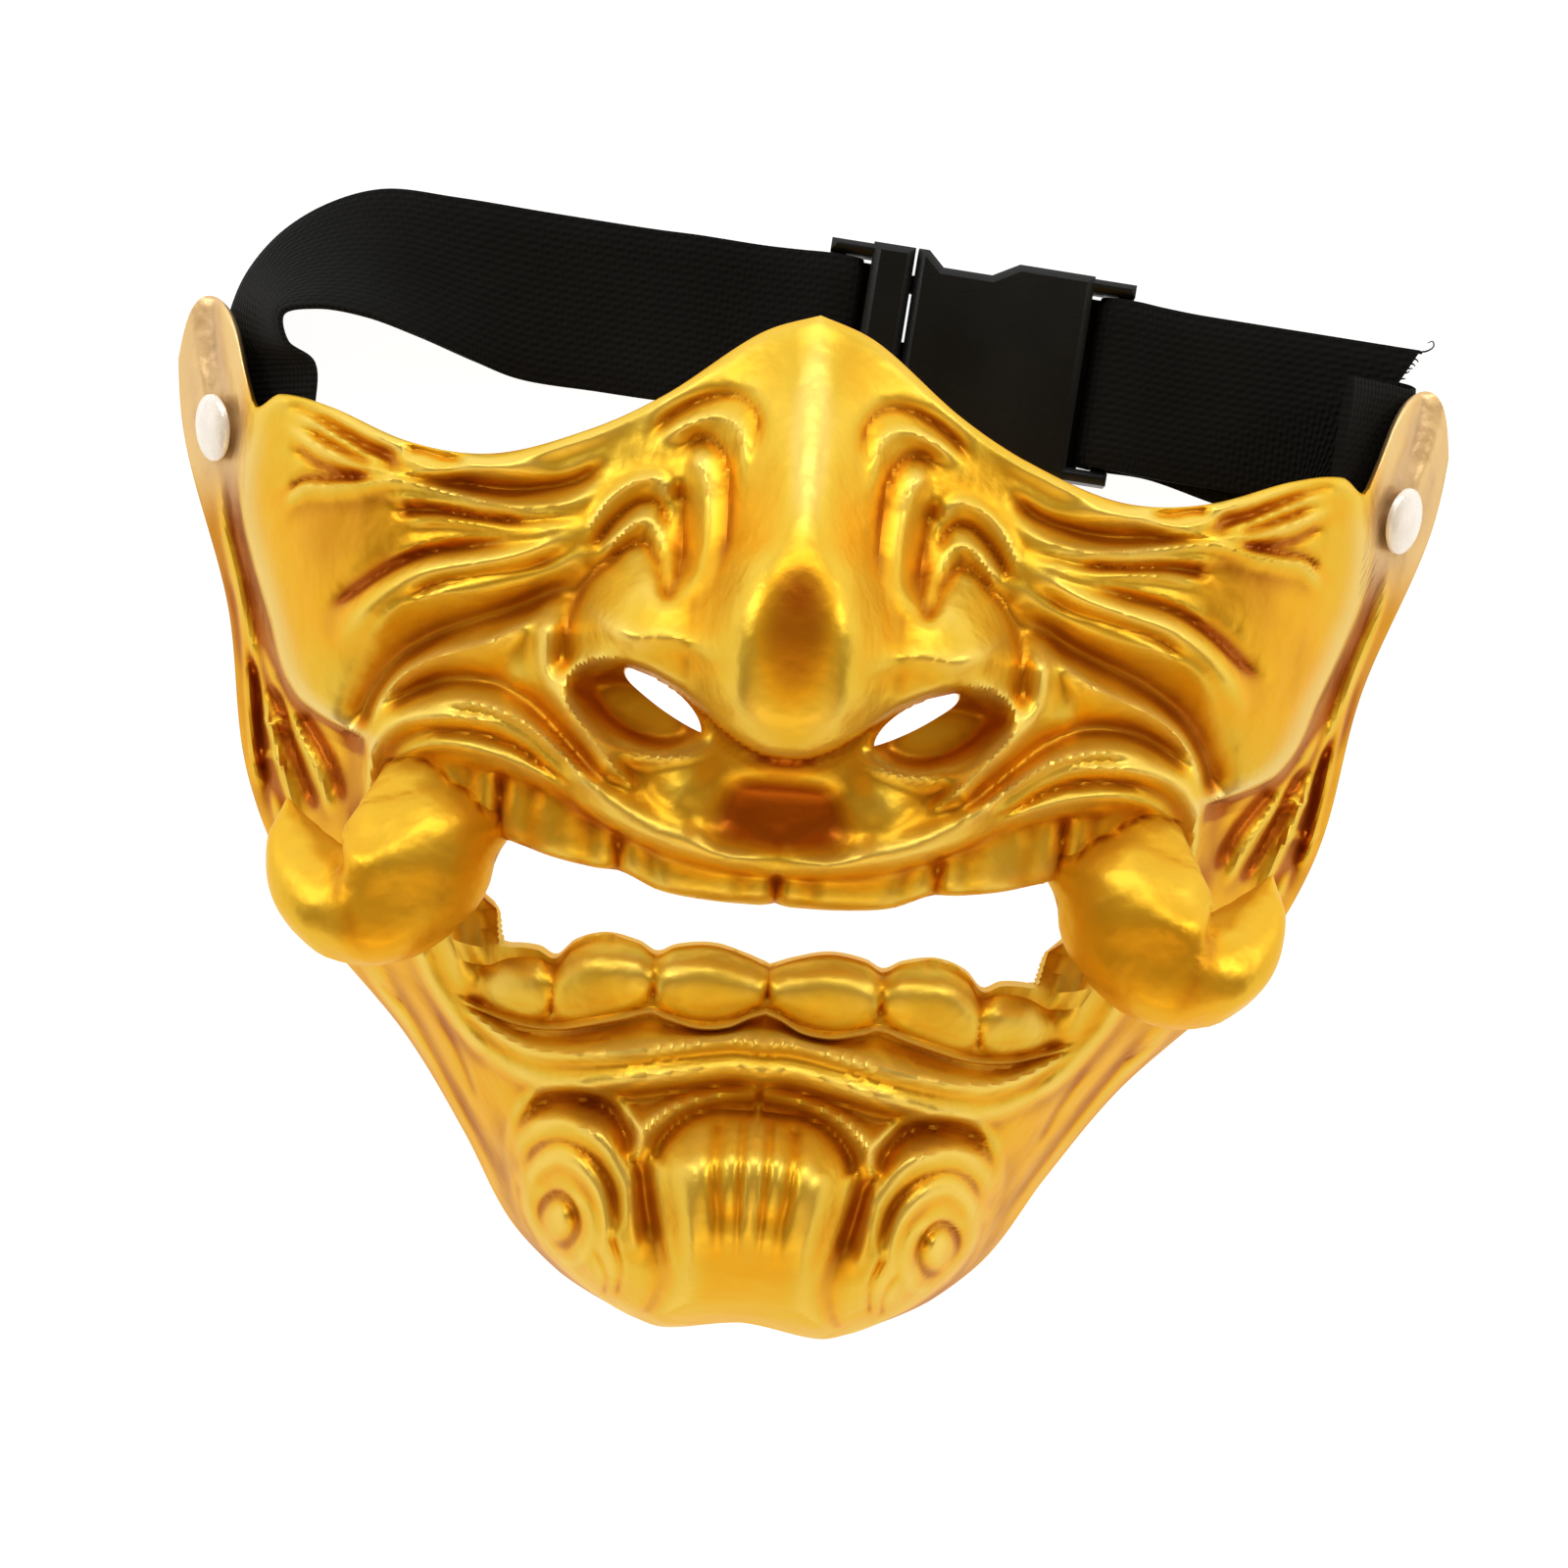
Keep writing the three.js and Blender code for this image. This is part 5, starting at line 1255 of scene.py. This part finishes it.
def woven_black():
    """Black webbing: fine ribs across it and a faint twill."""
    material = shade("woven_black", (0.006, 0.006, 0.007), 0.0, 0.82)
    nodes, links = material.node_tree.nodes, material.node_tree.links
    cloth = nodes.new("ShaderNodeUVMap")
    cloth.uv_map = "cloth"
    heights = []
    for axis, scale, turn in (("X", 0.34, 0), ("Y", 0.3, 0), ("X", 0.26, 0.9)):
        mapping = nodes.new("ShaderNodeMapping")
        mapping.inputs["Rotation"].default_value = (0, 0, turn)
        rib = nodes.new("ShaderNodeTexWave")
        rib.bands_direction = axis
        rib.inputs["Scale"].default_value = scale
        links.new(cloth.outputs["UV"], mapping.inputs["Vector"])
        links.new(mapping.outputs["Vector"], rib.inputs["Vector"])
        heights.append(rib.outputs["Fac"])
    bump = None
    for height, distance in zip(heights, (0.00012, 0.00006, 0.00006)):
        bump = add_bump(material, height, distance, under=bump)
    tint_between(material, add_noise(material, 60), (0.003, 0.0034, 0.0036), (0.0052, 0.0056, 0.006))
    surface(material)["Specular IOR Level"].default_value = 0.12
    return material


def moulded_black():
    """Satin black plastic with a fine grain."""
    material = shade("moulded_black", (0.006, 0.007, 0.008), 0.0, 0.36)
    vary(material, add_noise(material, 90), 0.3, 0.42, "Roughness")
    add_bump(material, add_noise(material, 2600, 2), 0.00004)
    tint_between(material, add_noise(material, 40), (0.003, 0.004, 0.0045), (0.006, 0.0075, 0.008))
    surface(material)["Specular IOR Level"].default_value = 0.22
    return material


def white_enamel():
    """White enamel on a metal cap, with slight wear."""
    material = shade("white_enamel", (0.85, 0.85, 0.84), 0.25, 0.3)
    tint_between(material, add_noise(material, 350, 4), (0.84, 0.83, 0.81), (0.93, 0.92, 0.9))
    vary(material, add_noise(material, 500), 0.22, 0.4, "Roughness")
    add_bump(material, add_noise(material, 1400), 0.00004)
    return material


gold = gold_paint()
woven = woven_black()
plastic = moulded_black()
enamel = white_enamel()

for piece, material, slot, node in (
        (mask_casting(), gold, "gold_paint", "mask_shell"),
        (rivet(-1), enamel, "rivet_white", "rivet_left"),
        (rivet(1), enamel, "rivet_white", "rivet_right"),
        (webbing("webbing_left", left_route(), -1), woven, "webbing_black", "strap_left"),
        (webbing("webbing_right", right_route(), 1), woven, "webbing_black", "strap_right"),
        (moulded("buckle_prongs", "buckle_male"), plastic, "plastic_black", "buckle_male"),
        (moulded("buckle_socket", "buckle_female"), plastic, "plastic_black", "buckle_female")):
    dress(piece, material)
    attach(piece, "root")
    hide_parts(node)


# Floor of the studio, in metres: half its side, how far it lies under the object, and its glow
FLOOR_HALF = 3
FLOOR_DROP = 0.0002
FLOOR_GLOW = 0.97


def studio_floor():
    bm = bmesh.new()
    bmesh.ops.create_grid(bm, x_segments=1, y_segments=1, size=FLOOR_HALF)
    floor = to_object(bm, "floor")
    floor.location.z = -FLOOR_DROP
    white = shade("floor_white", (0.2, 0.2, 0.2), 0, 0.9)
    surface(white)["Emission Color"].default_value = (1, 1, 1, 1)
    surface(white)["Emission Strength"].default_value = FLOOR_GLOW
    floor.data.materials.append(white)


def softbox(name, place, size, watts, colour=(1, 1, 1)):
    lamp = bpy.data.lights.new(name, "AREA")
    lamp.shape, lamp.size, lamp.size_y, lamp.energy, lamp.color = "RECTANGLE", *size, watts, colour
    stand = bpy.data.objects.new(name, lamp)
    stand.location = place
    stand.rotation_euler = (-Vector(place)).to_track_quat("-Z", "Y").to_euler()
    bpy.context.scene.collection.objects.link(stand)


# Direction towards the bright side of the surroundings; its length sets how far their tint varies
BRIGHT_SIDE = (-0.04, 0.5, -0.25)


def studio():
    """Surroundings that are bright beyond the brow and dim overhead and below the chin, and softboxes."""
    world = bpy.data.worlds.new("studio")
    bpy.context.scene.world = world
    world.use_nodes = True
    nodes, links = world.node_tree.nodes, world.node_tree.links
    direction = nodes.new("ShaderNodeTexCoord")
    toward_light = nodes.new("ShaderNodeVectorMath")
    toward_light.operation = "DOT_PRODUCT"
    toward_light.inputs[1].default_value = BRIGHT_SIDE
    middle = nodes.new("ShaderNodeMath")
    middle.inputs[1].default_value = 0.5
    ramp = nodes.new("ShaderNodeValToRGB")
    links.new(direction.outputs["Generated"], toward_light.inputs[0])
    links.new(toward_light.outputs["Value"], middle.inputs[0])
    links.new(middle.outputs[0], ramp.inputs[0])
    links.new(ramp.outputs[0], nodes["Background"].inputs["Color"])
    fill_ramp(ramp, (0, (1, 0.78, 0.46)), (0.13, (0.86, 0.6, 0.3)), (0.18, (0.36, 0.19, 0.08)),
              (0.25, (0.08, 0.03, 0.008)), (0.45, (0.4, 0.3, 0.17)), (0.7, (0.58, 0.53, 0.43)),
              (1, (0.9, 0.9, 0.9)))
    nodes["Background"].inputs["Strength"].default_value = 1.0
    softbox("brow_strip", (0, 2.1, 1.3), (3.0, 0.9), 29)
    softbox("chin_strip", (0, -1.6, 0.9), (1.6, 0.5), 3, (1, 0.82, 0.5))
    softbox("left_box", (-0.9, 0.45, 0.45), (0.25, 0.6), 2.6)
    softbox("right_box", (0.9, 0.45, 0.45), (0.25, 0.6), 2.6)
    bpy.context.scene.view_settings.view_transform = "Standard"


# Camera straight above the face: height in metres, sensor and lens in millimetres, and its turn
CAMERA_HEIGHT = 0.7
CAMERA_SENSOR = 36
CAMERA_LENS = 108.6
CAMERA_TURN = math.radians(4.5)


def camera():
    lens = bpy.data.cameras.new("camera")
    lens.sensor_width, lens.lens = CAMERA_SENSOR, CAMERA_LENS
    eye = bpy.data.objects.new("camera", lens)
    eye.location = (0, FACE_SHIFT * MM, CAMERA_HEIGHT)
    eye.rotation_euler = (0, 0, CAMERA_TURN)
    bpy.context.scene.collection.objects.link(eye)
    bpy.context.scene.camera = eye


studio_floor()
studio()
camera()
